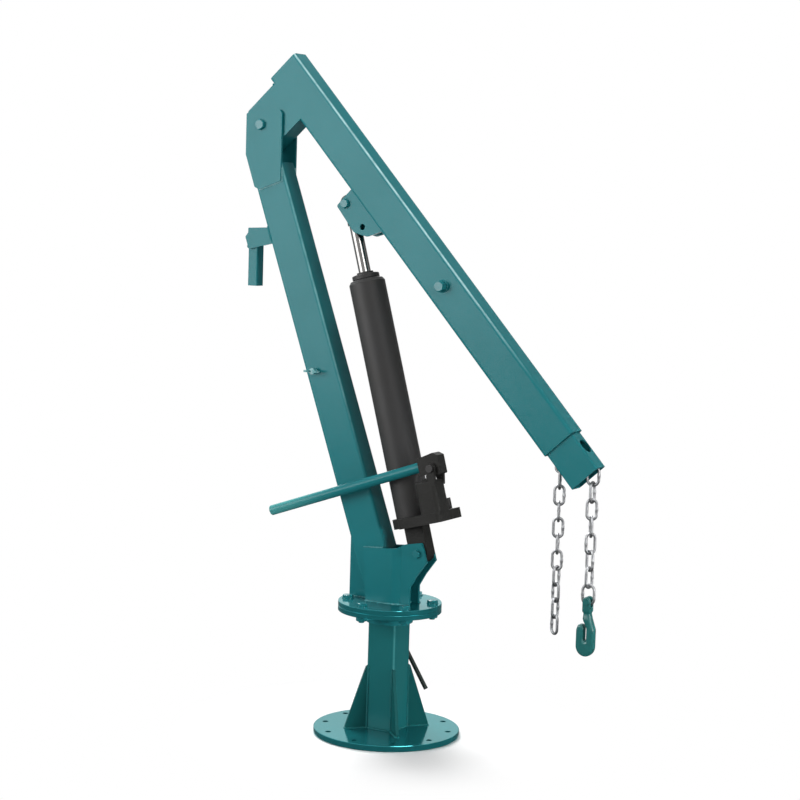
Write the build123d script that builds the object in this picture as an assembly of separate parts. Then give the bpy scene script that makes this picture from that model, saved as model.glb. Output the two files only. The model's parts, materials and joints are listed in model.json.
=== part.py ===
from math import atan2, cos, hypot, radians, sin, sqrt, tan
import os

from build123d import *

# Swivel hoist crane with a long ram jack, a leaning mast and a telescopic boom.
# Millimetres, +Z up, +X towards the boom tip, origin under the middle of the base plate.

# Clearances
RUNNING = 0.05
BOLT_PLAY = 0.25
SEAT = 0.1
FACE_PLAY = 0.2
STUB_PLAY = 0.3
LINK_PLAY = 0.3
TIP_PLAY = 0.4
EXTENSION_PLAY = 0.5
FOOT_PLAY = 0.5
SIDE_PLAY = 1.0
EYE_PLAY = 1.0

# Base plate and column
BASE_DIAMETER = 300.0
BASE_THICKNESS = 12.0
BASE_EDGE = 1.0
BASE_HOLE_INSET = 21.0
BASE_HOLE_COUNT = 10
BASE_HOLE = 12.0
COLUMN_SIDE = 65.0
COLUMN_WALL = 5.0
COLUMN_CORNER = 6.5
COLUMN_TOP = 233.0
GUSSET_FOOT_RADIUS = 88.0
GUSSET_LIP = 6.0
GUSSET_TOP = 140.0
GUSSET_SHOULDER = 3.5
GUSSET_THICKNESS = 6.0
COLLAR_DIAMETER = 96.0
COLLAR_HEIGHT = 20.0
BUSH_WALL = 5.0
SHAFT_DIAMETER = 44.0
SHAFT_END = 4.0
THRUST_WASHER = 1.8
THRUST_INSET = 4.0
BEARING_BOTTOM = 92.0
BEARING_HEIGHT = 12.0
RING_HEIGHT = 6.0
RING_PLAY = 0.5
RING_INSET = 1.5

# Column lock screw
LOCK_HEIGHT = 172.0
LOCK_ROD = 9.0
LOCK_BOSS = 26.0
LOCK_BOSS_LENGTH = 14.0
LOCK_STANDOFF = 17.0
LOCK_ARM = 102.0
LOCK_SWING = 33.0
LOCK_BEND = 10.0

# Turning flanges
FLANGE_DIAMETER = 212.0
FLANGE_THICKNESS = 10.0
FLANGE_EDGE = 0.8
FLANGE_BOLT_INSET = 18.0
FLANGE_BOLT_COUNT = 6
FLANGE_BOLT_PHASE = 20.0
FLANGE_BOLT = 12.0

# Bolts: share of the diameter, and thread past the nut
FLATS_RATIO = 1.6
HEAD_RATIO = 0.62
NUT_RATIO = 0.8
BOLT_TAIL = 3.0

# Mast
MAST_LEAN = 19.57
MAST_DEPTH = 75.0
MAST_WIDTH = 50.0
MAST_WALL = 4.0
MAST_CORNER = 6.0
MAST_LENGTH = 927.0
STUB_LENGTH = 170.0
STUB_EASE = 1.0
MAST_BOLT_ALONG = 128.0
MAST_BOLT = 10.0
REAR_GUSSET_X = -95.0
REAR_GUSSET = 8.0

# Plates that hold the jack's foot: they lie on the mast's sides and step in towards the jack
FOOT_REACH = 71.4
FOOT_RISE = 108.0
FOOT_BOLT = 12.0
FOOT_PLATE = 6.0
FOOT_PLATE_REAR = -49.5
FOOT_PLATE_TOE = -40.0
FOOT_STEP_X = 20.0
FOOT_STEP = 16.0
# Outline of these plates as (X, Z) from the foot bolt, from the flange round the nose to the mast
FOOT_NOSE = ((-14.4, -71.5), (0.0, -47.0), (23.0, -16.0), (15.0, 10.0), (9.0, 23.0), (-28.0, 16.0))
FOOT_SHOULDER = (-46.0, 6.5)
FOOT_REAR_RISE = 1.0

# Cheeks and boom pivot at the head of the mast
PIVOT_FORWARD = 16.94
PIVOT_ABOVE = 87.96
PIVOT_BOLT = 12.0
CHEEK = 5.0
CHEEK_REAR = 36.0
CHEEK_FRONT = 51.4
CHEEK_ABOVE = 31.0
CHEEK_OVERLAP = 37.0
CHEEK_CORNER = 3.0
CHEEK_REAR_CUT = (12.0, 9.0)
CHEEK_FRONT_CUT = (6.0, 8.0)
CHEEK_TAIL = 8.0
CHEEK_TAIL_LIP = 3.0

# Boom
BOOM_DROP = 47.91
BOOM_RISE = 113.4
BOOM_HEIGHT = 79.0
BOOM_WALL = 4.0
BOOM_CORNER = 7.0
BOOM_REAR = -58.4
BOOM_FRONT = 918.4
END_PLATE = 5.0
END_PLATE_INSET = 1.0
HEEL_REAR = -44.5
HEEL_FRONT = 53.0
HEEL_BOTTOM = -46.0
HEEL_SHOULDER = -8.0
HEEL_TOE = -3.0
HEEL_CUT = 22.0
HEEL_WALL = 5.0
SLEEVE_WALL = 6.0
LOCK_BOLT_ALONG = 524.6
LOCK_BOLT = 12.0
LOCK_NUT_HEIGHT = 9.0
LOCK_HEAD_GAP = 1.0

# Jack ears under the boom: along the boom, above the pivot
JACK_HEAD_ALONG = 253.6
JACK_HEAD_RISE = 46.9
HEAD_PIN = 12.0
HEAD_PIN_GAP = 0.5
EAR = 6.0
EAR_REAR = 12.8
EAR_FRONT = 98.0
EAR_BELOW = 22.5
EAR_CORNER = 4.0
# Lower outline of an ear: along the boom from the head pin, above the ear's bottom
EAR_OUTLINE = ((-10.0, 4.0), (57.0, 0.0), (84.0, 18.0))
SPARE_HOLE_STEP = 62.0

# Extension
EXTENSION_WALL = 3.5
EXTENSION_CORNER = 4.0
EXTENSION_REAR = 215.0
EXTENSION_FRONT = 1002.3
TIP_HOLE = 30.0
TIP_HOLE_INSET = 52.0
CHAIN_BAR = 7.0
CHAIN_BAR_INSET = 8.0
CHAIN_BAR_RISE = 20.0

# Chain
WIRE = 5.5
LINK_INSIDE = 33.5
TAIL_LINK_INSIDE = 32.2
LINK_WIDTH = 24.0
RING_WIDTH = 30.0
UPPER_LINKS = 2
LOWER_LINKS = 6
LOWER_TURN = 20.0
LINK_TWIST = 100.0
TAIL_TURNS = (110, 28, 114, 28, 110, 12, 82, 152, 80, 150)
TAIL_INSET = 54.0
TAIL_Y = 12.0
TAIL_LOOP_DROP = 5.0

# Hook: sizes below the clevis pin
CLEVIS_PIN = 8.0
CLEVIS_PIN_HEAD = 13.0
CLEVIS_PIN_END = 3.0
CLEVIS_WIDTH = 19.0
CLEVIS_DEPTH = 18.0
CLEVIS_GAP = 8.0
CLEVIS_FLOOR = 15.0
NECK_TOP = 24.0
HOOK_THICKNESS = 14.0
HOOK_SLOT = 8.0
HOOK_SLOT_X = -2.0
HOOK_SLOT_DEPTH = 77.0
HOOK_BOWL = 19.0
HOOK_BOWL_DEPTH = 90.0
HOOK_TIP_DEPTH = 48.0
HOOK_CORNER = 4.5
HOOK_EDGE = 3.0
HOOK_TIP_CUT = (4.0, 10.0)
HOOK_MOUTH_CUT = (3.0, 5.0)
HOOK_WAIST_RISE = 12.0
HOOK_WAIST_LIP = 2.0
HOOK_THROAT_DROP = 6.0
HOOK_BACK_DROP = 8.0

# Jack
CYLINDER_DIAMETER = 74.0
CYLINDER_WALL = 4.0
CYLINDER_TOP = 552.0
PRESSURE_TUBE = 52.0
PISTON = 40.0
PISTON_BOTTOM = 118.0
PISTON_HEIGHT = 24.0
ROD_DIAMETER = 25.0
CAP_HEIGHT = 24.0
CAP_RIM = 6.0
CAP_SLOPE = 6.0
CAP_SHOULDER = 3.0
CAP_INSET = 4.0
CAP_NECK_WALL = 10.5
WIPER_HEIGHT = 4.0
WIPER_LIP = 4.5
EYE_DIAMETER = 36.0
EYE_WIDTH = 25.0
EYE_NECK_WALL = 2.5
EYE_REACH = 44.0
EYE_FLOOR = 6.0
JACK_PLATE_BOTTOM = 56.0
JACK_PLATE_TOP = 76.0
JACK_PLATE_LIP = 9.0
JACK_PLATE_CORNER = 10.0
FOOT_WIDTH = 31.0
FOOT_DEPTH = 42.0

# Pump
HANDLE_DIAMETER = 21.0
HANDLE_WALL = 2.5
HANDLE_LENGTH = 392.0
HANDLE_DROP = 4.0
HANDLE_GAP = 5.5
SOCKET = (68.8, 169.5)
SOCKET_DEPTH = 20.0
PUMP_REAR = 56.0
PUMP_FRONT = 102.0
PUMP_SIDE = 44.0
PUMP_TOP = 140.0
PUMP_CORNER = 8.0
PUMP_EDGE = 3.0
PUMP_LIP = 2.0
PLUNGER_X = 78.0
PLUNGER_DIAMETER = 14.0
PLUNGER_NECK = 6.0
PLUNGER_NECK_HEIGHT = 5.5
PLUNGER_DEPTH = 45.0
PLUNGER_FOOT_GAP = 6.0
GLAND_WALL = 5.0
GLAND_HEIGHT = 5.0
ROCKER_PIVOT = (99.0, 163.0)
ROCKER_WIDTH = 28.0
ROCKER_BOTTOM = 152.0
ROCKER_CORNER = 3.0
# Outline of the rocker round its pivot as (X, Z) from the pivot, and at the handle's socket
ROCKER_OUTLINE = ((-7.0, -13.0), (9.0, -15.0), (18.0, -14.0), (18.0, 23.0), (8.0, 30.0))
ROCKER_NECK = -13.0
ROCKER_SOCKET_LIP = 1.0
ROCKER_SOCKET_TOP = 17.0
ROCKER_PIN = 10.0
ROCKER_PIN_HEAD = 15.0
ROCKER_PIN_END = 2.0
FORK_EYE = 20.0
FORK_PLAY = 0.6
FORK_ROOT = 12.0

# Release valve
VALVE_X = 76.0
VALVE_Y = 10.0
VALVE_STEM = 8.0
VALVE_KNOB = 14.0
VALVE_HEIGHT = 22.0
VALVE_DEPTH = 11.0
VALVE_SLOT = 4.0
VALVE_SLOT_DEPTH = 5.0

# Turning grip and wing screw on the mast
GRIP_ALONG = 789.1
GRIP_SIDE = 24.0
GRIP_WALL = 2.5
GRIP_CORNER = 3.0
GRIP_REACH = 45.0
GRIP_BELOW = 102.6
GRIP_ABOVE = 4.0
GRIP_ARM = 6.0
GRIP_ARM_INSET = 1.0
GRIP_ARM_CORNER = 2.0
# Ends of the arm as (X, Z): from the grip's axis, and heights at the mast
GRIP_ARM_END = ((-9.0, 18.0), (-9.0, 8.0), (-16.0, -1.0), (-7.0, -26.0))
GRIP_ARM_ROOT = (-6.0, 22.0)
WING_FORWARD = -14.88
WING_ALONG = 494.34
WING_SCREW = 8.0
WING_HUB = 13.0
WING_LOBE = 15.0
WING_SPREAD = 11.0
WING_BLADE = 4.0
WING_NUT_HEIGHT = 6.5
WING_TAIL = 9.0

LOW = (Align.CENTER, Align.CENTER, Align.MIN)
HIGH = (Align.CENTER, Align.CENTER, Align.MAX)
# Length of a cutter that goes right through
THROUGH = 400.0

os.makedirs("parts", exist_ok=True)


# Shared shapes


def save(shape, node):
    export_step(shape, f"parts/{node}.step")


def disc(diameter, bottom, height, bore=0.0):
    shape = Pos(0, 0, bottom) * Cylinder(diameter / 2, height, align=LOW)
    if bore:
        hole = Pos(0, 0, bottom - height) * Cylinder(bore / 2, 3 * height, align=LOW)
        shape = shape - hole
    return shape


def cross(x, z, diameter, y_from, y_to):
    turned = Plane(origin=(x, y_from, z), x_dir=(1, 0, 0), z_dir=(0, 1, 0))
    return turned * Cylinder(diameter / 2, y_to - y_from, align=LOW)


def box_tube(depth, width, wall, corner, length):
    outer = RectangleRounded(depth, width, corner)
    inner = RectangleRounded(depth - 2 * wall, width - 2 * wall, max(corner - wall, 1.0))
    return extrude(outer - inner, length)


def box_bar(depth, width, corner, length):
    return extrude(RectangleRounded(depth, width, corner), length)


def upright(points, y_from, y_to, corner=0.0):
    outline = Polygon(*points, align=None)
    if corner:
        outline = fillet(outline.vertices(), corner)
    side = Plane(origin=(0, y_to, 0), x_dir=(1, 0, 0), z_dir=(0, -1, 0))
    return extrude(side * outline, y_to - y_from, dir=(0, -1, 0))


def pair(points, inner, thickness, corner=0.0):
    far = upright(points, inner, inner + thickness, corner)
    near = upright(points, -inner - thickness, -inner, corner)
    return near, far


def hexagon(flats, height):
    return extrude(RegularPolygon(flats / 2, 6, major_radius=False), height)


def bolt(diameter, grip):
    head = HEAD_RATIO * diameter
    crown = Pos(0, 0, -head) * hexagon(FLATS_RATIO * diameter, head)
    return crown + Cylinder(diameter / 2, grip, align=LOW)


def nut(diameter, height):
    return hexagon(FLATS_RATIO * diameter, height) - Cylinder(diameter / 2 + RUNNING, 3 * height)


def through_bolt(diameter, grip):
    height = NUT_RATIO * diameter
    return bolt(diameter, grip + height + BOLT_TAIL), nut(diameter, height)


def across(x, z, y, shape, towards):
    seat = Plane(origin=(x, y, z), x_dir=(1, 0, 0), z_dir=(0, towards, 0))
    return seat * shape


def together(shapes):
    return Compound(children=list(shapes))


# Heights and frames of the leaning and turning pieces

lean = radians(MAST_LEAN)
drop = radians(BOOM_DROP)
FLANGE_BOTTOM = COLUMN_TOP + COLLAR_HEIGHT + THRUST_WASHER + FACE_PLAY
FLANGE_TOP = FLANGE_BOTTOM + 2 * FLANGE_THICKNESS


def on_mast(forward, along):
    x = forward * cos(lean) - along * sin(lean)
    z = FLANGE_TOP + forward * sin(lean) + along * cos(lean)
    return x, z


BOOM_PIVOT = on_mast(PIVOT_FORWARD, MAST_LENGTH + PIVOT_ABOVE)


def on_boom(along, rise):
    x = BOOM_PIVOT[0] + along * cos(drop) + rise * sin(drop)
    z = BOOM_PIVOT[1] - along * sin(drop) + rise * cos(drop)
    return x, z


JACK_FOOT = (FOOT_REACH, FLANGE_TOP + FOOT_RISE)
JACK_HEAD = on_boom(JACK_HEAD_ALONG, JACK_HEAD_RISE)
jack_run = JACK_FOOT[0] - JACK_HEAD[0]
jack_climb = JACK_HEAD[1] - JACK_FOOT[1]
JACK_LENGTH = hypot(jack_run, jack_climb)
tilt = atan2(jack_run, jack_climb)
mast_frame = Plane(
    origin=(0, 0, FLANGE_TOP),
    x_dir=(cos(lean), 0, sin(lean)),
    z_dir=(-sin(lean), 0, cos(lean)),
)
boom_frame = Plane(
    origin=(BOOM_PIVOT[0], 0, BOOM_PIVOT[1]),
    x_dir=(cos(drop), 0, -sin(drop)),
    z_dir=(sin(drop), 0, cos(drop)),
)
boom_section = Plane(origin=(0, 0, BOOM_RISE), x_dir=(0, 0, 1), z_dir=(1, 0, 0))
jack_frame = Plane(
    origin=(JACK_FOOT[0], 0, JACK_FOOT[1]),
    x_dir=(cos(tilt), 0, sin(tilt)),
    z_dir=(-sin(tilt), 0, cos(tilt)),
)


# Base plate with its ring of fixing holes

BASE_HOLE_CIRCLE = BASE_DIAMETER - 2 * BASE_HOLE_INSET
base_plate = disc(BASE_DIAMETER, 0, BASE_THICKNESS)
for index in range(BASE_HOLE_COUNT):
    angle = 360 / BASE_HOLE_COUNT * (index + 0.5)
    spot = Rot(0, 0, angle) * Pos(BASE_HOLE_CIRCLE / 2, 0, 0)
    base_plate = base_plate - spot * Cylinder(BASE_HOLE / 2, 3 * BASE_THICKNESS)
rim = base_plate.edges().filter_by(GeomType.CIRCLE).sort_by(SortBy.RADIUS)[-2:]
save(chamfer(rim, BASE_EDGE), "base_plate")

# Square column with a hole for the lock screw's tip

column_start = Pos(0, 0, BASE_THICKNESS)
column_height = COLUMN_TOP - BASE_THICKNESS
column = column_start * box_tube(COLUMN_SIDE, COLUMN_SIDE, COLUMN_WALL, COLUMN_CORNER, column_height)
column_solid = column_start * box_bar(COLUMN_SIDE, COLUMN_SIDE, COLUMN_CORNER, column_height)
save(column - cross(0, LOCK_HEIGHT, LOCK_ROD + 2 * BOLT_PLAY, 0, COLUMN_SIDE), "column_tube")

# Four gussets on the column's corners

column_diagonal = COLUMN_SIDE / sqrt(2) - COLUMN_CORNER * (sqrt(2) - 1)
gusset_profile = (
    (COLUMN_SIDE / 2, BASE_THICKNESS),
    (GUSSET_FOOT_RADIUS, BASE_THICKNESS),
    (GUSSET_FOOT_RADIUS, BASE_THICKNESS + GUSSET_LIP),
    (column_diagonal + GUSSET_SHOULDER, GUSSET_TOP),
    (COLUMN_SIDE / 2, GUSSET_TOP),
)
gusset = upright(gusset_profile, -GUSSET_THICKNESS / 2, GUSSET_THICKNESS / 2)
save(together(Rot(0, 0, 45 + 90 * side) * gusset - column_solid for side in range(4)), "column_gussets")

# Bearing collar, bushes and washer that carry the turning shaft

collar_top = COLUMN_TOP + COLLAR_HEIGHT
shaft_bore = SHAFT_DIAMETER + 2 * RUNNING
bush_outer = shaft_bore + 2 * BUSH_WALL
save(disc(COLLAR_DIAMETER, COLUMN_TOP, COLLAR_HEIGHT, bush_outer + 2 * SEAT), "column_collar")
save(disc(bush_outer, COLUMN_TOP, COLLAR_HEIGHT, shaft_bore), "upper_bush")
washer = disc(COLLAR_DIAMETER - 2 * THRUST_INSET, collar_top, THRUST_WASHER, SHAFT_DIAMETER + 2 * SIDE_PLAY)
save(washer, "thrust_washer")
column_inside = COLUMN_SIDE - 2 * COLUMN_WALL
bearing = box_bar(column_inside, column_inside, COLUMN_CORNER - COLUMN_WALL, BEARING_HEIGHT)
bearing = bearing - Cylinder(shaft_bore / 2, 3 * BEARING_HEIGHT)
save(Pos(0, 0, BEARING_BOTTOM) * bearing, "lower_bearing")

# Turning shaft and the ring that keeps it in the column

ring_bottom = BEARING_BOTTOM - RING_PLAY - RING_HEIGHT
shaft_bottom = ring_bottom - SHAFT_END
save(disc(SHAFT_DIAMETER, shaft_bottom, FLANGE_BOTTOM - shaft_bottom), "turning_shaft")
save(disc(column_inside - 2 * RING_INSET, ring_bottom, RING_HEIGHT, shaft_bore), "shaft_ring")

# Threaded boss and bent lock screw on the far side of the column

boss_end = COLUMN_SIDE / 2 + LOCK_BOSS_LENGTH
boss = cross(0, LOCK_HEIGHT, LOCK_BOSS, COLUMN_SIDE / 2, boss_end)
save(boss - cross(0, LOCK_HEIGHT, LOCK_ROD + 2 * RUNNING, 0, 2 * boss_end), "lock_boss")
swing = radians(LOCK_SWING)
lock_reach = boss_end + LOCK_STANDOFF
lock_path = FilletPolyline(
    (0, SHAFT_DIAMETER / 2 + TIP_PLAY, LOCK_HEIGHT),
    (0, lock_reach, LOCK_HEIGHT),
    (LOCK_ARM * sin(swing), lock_reach, LOCK_HEIGHT - LOCK_ARM * cos(swing)),
    radius=LOCK_BEND,
)
lock_start = Plane(origin=lock_path @ 0, z_dir=lock_path % 0)
save(sweep(lock_start * Circle(LOCK_ROD / 2), path=lock_path), "lock_screw")

# Bolted pair of flanges


def flange_spot(step, height):
    turn = FLANGE_BOLT_PHASE + 360 / FLANGE_BOLT_COUNT * step
    return Rot(0, 0, turn) * Pos(FLANGE_DIAMETER / 2 - FLANGE_BOLT_INSET, 0, height)


def flange(bottom):
    plate = disc(FLANGE_DIAMETER, bottom, FLANGE_THICKNESS)
    for step in range(FLANGE_BOLT_COUNT):
        hole = Cylinder(FLANGE_BOLT / 2 + BOLT_PLAY, 3 * FLANGE_THICKNESS)
        plate = plate - flange_spot(step, bottom) * hole
    edges = plate.edges().filter_by(GeomType.CIRCLE).sort_by(SortBy.RADIUS)[-2:]
    return chamfer(edges, FLANGE_EDGE)


save(flange(FLANGE_BOTTOM), "lower_flange")
save(flange(FLANGE_BOTTOM + FLANGE_THICKNESS), "upper_flange")
flange_bolt, flange_nut = through_bolt(FLANGE_BOLT, 2 * FLANGE_THICKNESS)
downward = Rot(180, 0, 0)
steps = range(FLANGE_BOLT_COUNT)
save(together(flange_spot(step, FLANGE_TOP) * downward * flange_bolt for step in steps), "flange_bolts")
save(together(flange_spot(step, FLANGE_BOTTOM) * downward * flange_nut for step in steps), "flange_nuts")

# Leaning mast over a stub that stands on the upper flange, with a bolt from the far side

below = Pos(0, 0, FLANGE_TOP) * Box(THROUGH, THROUGH, THROUGH, align=HIGH)
mast_sink = MAST_DEPTH
mast_start = mast_frame * Pos(0, 0, -mast_sink)
mast = mast_start * box_tube(MAST_DEPTH, MAST_WIDTH, MAST_WALL, MAST_CORNER, MAST_LENGTH + mast_sink)
mast_solid = mast_start * box_bar(MAST_DEPTH, MAST_WIDTH, MAST_CORNER, MAST_LENGTH + mast_sink)
stub_depth = MAST_DEPTH - 2 * MAST_WALL - 2 * STUB_PLAY
stub_width = MAST_WIDTH - 2 * MAST_WALL - 2 * STUB_PLAY
stub_corner = MAST_CORNER - MAST_WALL + STUB_EASE
stub = mast_start * box_tube(stub_depth, stub_width, MAST_WALL, stub_corner, STUB_LENGTH + mast_sink)
mast_bolt_x, mast_bolt_z = on_mast(0, MAST_BOLT_ALONG)
mast_bolt_hole = cross(mast_bolt_x, mast_bolt_z, MAST_BOLT + 2 * BOLT_PLAY, 0, MAST_WIDTH)
wing_x, wing_z = on_mast(WING_FORWARD, WING_ALONG)
wing_hole = cross(wing_x, wing_z, WING_SCREW + 2 * BOLT_PLAY, -MAST_WIDTH, 0)
save(mast - below - mast_bolt_hole - wing_hole, "mast_tube")
save(stub - below - mast_bolt_hole, "mast_stub")
mast_bolt, mast_nut = through_bolt(MAST_BOLT, 2 * MAST_WALL + STUB_PLAY)
save(across(mast_bolt_x, mast_bolt_z, MAST_WIDTH / 2, mast_bolt, -1), "mast_bolt")
save(across(mast_bolt_x, mast_bolt_z, stub_width / 2 - MAST_WALL, mast_nut, -1), "mast_nut")

# Gusset behind the foot of the mast

mast_rear = MAST_DEPTH / 2 / cos(lean)
gusset_top = FLANGE_TOP + (-REAR_GUSSET_X - mast_rear) / tan(lean)
rear_profile = (
    (REAR_GUSSET_X, FLANGE_TOP),
    (0, FLANGE_TOP),
    (REAR_GUSSET_X + mast_rear, gusset_top),
    (REAR_GUSSET_X, gusset_top),
)
save(upright(rear_profile, -REAR_GUSSET / 2, REAR_GUSSET / 2) - mast_solid, "rear_gusset")

# Stepped plates on both sides of the mast that hold the foot of the jack

foot_x, foot_z = JACK_FOOT
foot_inner = FOOT_WIDTH / 2 + FOOT_PLAY
foot_outer = foot_inner + FOOT_PLATE
mast_half = MAST_WIDTH / 2
foot_front = foot_x + FOOT_DEPTH
bend_back = FOOT_PLATE * tan(atan2(mast_half - foot_inner, FOOT_STEP) / 2)
foot_plan = (
    (FOOT_PLATE_REAR, mast_half),
    (FOOT_PLATE_REAR, mast_half + FOOT_PLATE),
    (FOOT_STEP_X, mast_half + FOOT_PLATE),
    (FOOT_STEP_X + FOOT_STEP, foot_outer),
    (foot_front, foot_outer),
    (foot_front, foot_inner),
    (FOOT_STEP_X + FOOT_STEP - bend_back, foot_inner),
    (FOOT_STEP_X - bend_back, mast_half),
)
foot_profile = (
    (FOOT_PLATE_TOE, FLANGE_TOP),
    (foot_x + FOOT_NOSE[0][0], FLANGE_TOP),
    *((foot_x + x, foot_z + z) for x, z in FOOT_NOSE),
    (foot_x + FOOT_SHOULDER[0], foot_z + FOOT_SHOULDER[1]),
    (FOOT_PLATE_REAR, foot_z + FOOT_REAR_RISE),
)
foot_hole = cross(foot_x, foot_z, FOOT_BOLT + 2 * BOLT_PLAY, -MAST_WIDTH, MAST_WIDTH)
foot_side = upright(foot_profile, -MAST_WIDTH, MAST_WIDTH) - mast_solid - foot_hole
foot_plate = Pos(0, 0, FLANGE_TOP) * extrude(make_face(Polyline(*foot_plan, close=True)), THROUGH)
far_plate = foot_plate & foot_side
near_plate = mirror(far_plate, Plane.XZ)
save(together((near_plate, far_plate)), "foot_ears")
foot_bolt, foot_nut = through_bolt(FOOT_BOLT, 2 * foot_outer)
save(across(foot_x, foot_z, -foot_outer, foot_bolt, 1), "foot_bolt")
save(across(foot_x, foot_z, foot_outer, foot_nut, 1), "foot_nut")

# Cheeks at the head of the mast with the boom's pivot bolt

pivot_x, pivot_z = BOOM_PIVOT
cheek_left = pivot_x - CHEEK_REAR
cheek_right = pivot_x + CHEEK_FRONT
cheek_top = pivot_z + CHEEK_ABOVE
cheek_low_x, cheek_low_z = on_mast(-MAST_DEPTH / 2, MAST_LENGTH - CHEEK_OVERLAP)
cheek_side_z = FLANGE_TOP + (-cheek_left - mast_rear) / tan(lean)
cheek_profile = (
    (cheek_left, cheek_side_z),
    (cheek_left, cheek_top - CHEEK_REAR_CUT[1]),
    (cheek_left + CHEEK_REAR_CUT[0], cheek_top),
    (cheek_right - CHEEK_FRONT_CUT[0], cheek_top),
    (cheek_right, cheek_top - CHEEK_FRONT_CUT[1]),
    (cheek_right, cheek_low_z + (cheek_right - cheek_low_x) * tan(lean)),
    (cheek_low_x + CHEEK_TAIL, cheek_low_z + CHEEK_TAIL * tan(lean)),
    (cheek_low_x - CHEEK_TAIL_LIP, cheek_low_z + CHEEK_TAIL),
)
pivot_hole = cross(pivot_x, pivot_z, PIVOT_BOLT + 2 * BOLT_PLAY, -MAST_WIDTH, MAST_WIDTH)
cheeks = pair(cheek_profile, mast_half, CHEEK, CHEEK_CORNER)
save(together(cheek - pivot_hole for cheek in cheeks), "head_cheeks")
cheek_outer = mast_half + CHEEK
pivot_bolt, pivot_nut = through_bolt(PIVOT_BOLT, 2 * cheek_outer)
save(across(pivot_x, pivot_z, -cheek_outer, pivot_bolt, 1), "pivot_bolt")
save(across(pivot_x, pivot_z, cheek_outer, pivot_nut, 1), "pivot_nut")

# Turning grip on an arm behind the mast

root_x, root_z = on_mast(-MAST_DEPTH / 2, GRIP_ALONG)
GRIP_X = root_x - GRIP_REACH
GRIP_BOTTOM = root_z - GRIP_BELOW
arm_profile = (
    *((GRIP_X + x, root_z + z) for x, z in GRIP_ARM_END),
    *((root_x + MAST_DEPTH / 2, root_z + z) for z in GRIP_ARM_ROOT),
)
arm_near = GRIP_ARM_INSET - mast_half
arm_far = arm_near + GRIP_ARM
save(upright(arm_profile, arm_near, arm_far, GRIP_ARM_CORNER) - mast_solid, "grip_arm")
grip = box_tube(GRIP_SIDE, GRIP_SIDE, GRIP_WALL, GRIP_CORNER, GRIP_BELOW + GRIP_ABOVE)
save(Pos(GRIP_X, arm_far + GRIP_SIDE / 2, GRIP_BOTTOM) * grip, "grip_bar")

# Wing screw in the near side of the mast

hub_end = -mast_half - WING_HUB
hub = cross(wing_x, wing_z, WING_HUB, hub_end, -mast_half - TIP_PLAY)
wing_shank = cross(wing_x, wing_z, WING_SCREW, -mast_half - WING_BLADE, MAST_WALL + WING_TAIL - mast_half)
wing_screw = hub + wing_shank
for side in (-WING_SPREAD, WING_SPREAD):
    lobe = Pos(wing_x + side, hub_end, wing_z) * Cylinder(WING_LOBE / 2, WING_BLADE)
    wing_screw = wing_screw + lobe
save(wing_screw, "wing_screw")
wing_nut = nut(WING_SCREW, WING_NUT_HEIGHT)
save(across(wing_x, wing_z, MAST_WALL - mast_half, wing_nut, 1), "wing_weld_nut")

# Boom tube with its heel, end plate and pivot sleeve

boom_width = MAST_WIDTH - 2 * SIDE_PLAY
boom_half = boom_width / 2
boom_length = BOOM_FRONT - BOOM_REAR
boom_start = boom_section * Pos(0, 0, BOOM_REAR)
boom = boom_start * box_tube(BOOM_HEIGHT, boom_width, BOOM_WALL, BOOM_CORNER, boom_length)
boom_solid = boom_start * box_bar(BOOM_HEIGHT, boom_width, BOOM_CORNER, boom_length)
lock_bolt_hole = cross(LOCK_BOLT_ALONG, BOOM_RISE, LOCK_BOLT + 2 * BOLT_PLAY, -boom_width, 0)
save(boom_frame * (boom - lock_bolt_hole), "boom_tube")
boom_inside = BOOM_HEIGHT - 2 * BOOM_WALL
boom_inside_width = boom_width - 2 * BOOM_WALL
end_corner = BOOM_CORNER - BOOM_WALL
end_plate = box_bar(boom_inside - 2 * SEAT, boom_inside_width - 2 * SEAT, end_corner, END_PLATE)
save(boom_frame * boom_start * Pos(0, 0, END_PLATE_INSET) * end_plate, "boom_end_plate")
boom_under = BOOM_RISE - BOOM_HEIGHT / 2
heel_profile = (
    (HEEL_REAR, BOOM_RISE),
    (HEEL_REAR, HEEL_SHOULDER),
    (HEEL_TOE, HEEL_BOTTOM),
    (HEEL_FRONT - HEEL_CUT, HEEL_BOTTOM),
    (HEEL_FRONT, HEEL_BOTTOM + HEEL_CUT),
    (HEEL_FRONT, BOOM_RISE),
)
heel_middle = (HEEL_REAR + HEEL_FRONT) / 2
hollow_depth = HEEL_FRONT - HEEL_REAR - 2 * HEEL_WALL
hollow = Pos(heel_middle, 0, HEEL_BOTTOM) * Box(hollow_depth, boom_width - 2 * HEEL_WALL, THROUGH)
sleeve_outer = PIVOT_BOLT + 2 * RUNNING + 2 * SLEEVE_WALL
sleeve_hole = cross(0, 0, sleeve_outer + 2 * SEAT, -boom_width, boom_width)
heel = upright(heel_profile, -boom_half, boom_half) - hollow - boom_solid - sleeve_hole
save(boom_frame * heel, "boom_heel")
sleeve = cross(0, 0, sleeve_outer, -boom_half, boom_half)
sleeve = sleeve - cross(0, 0, PIVOT_BOLT + 2 * RUNNING, -boom_width, boom_width)
save(boom_frame * sleeve, "pivot_sleeve")

# Ears under the boom with the jack's head pin as two stubs

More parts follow.
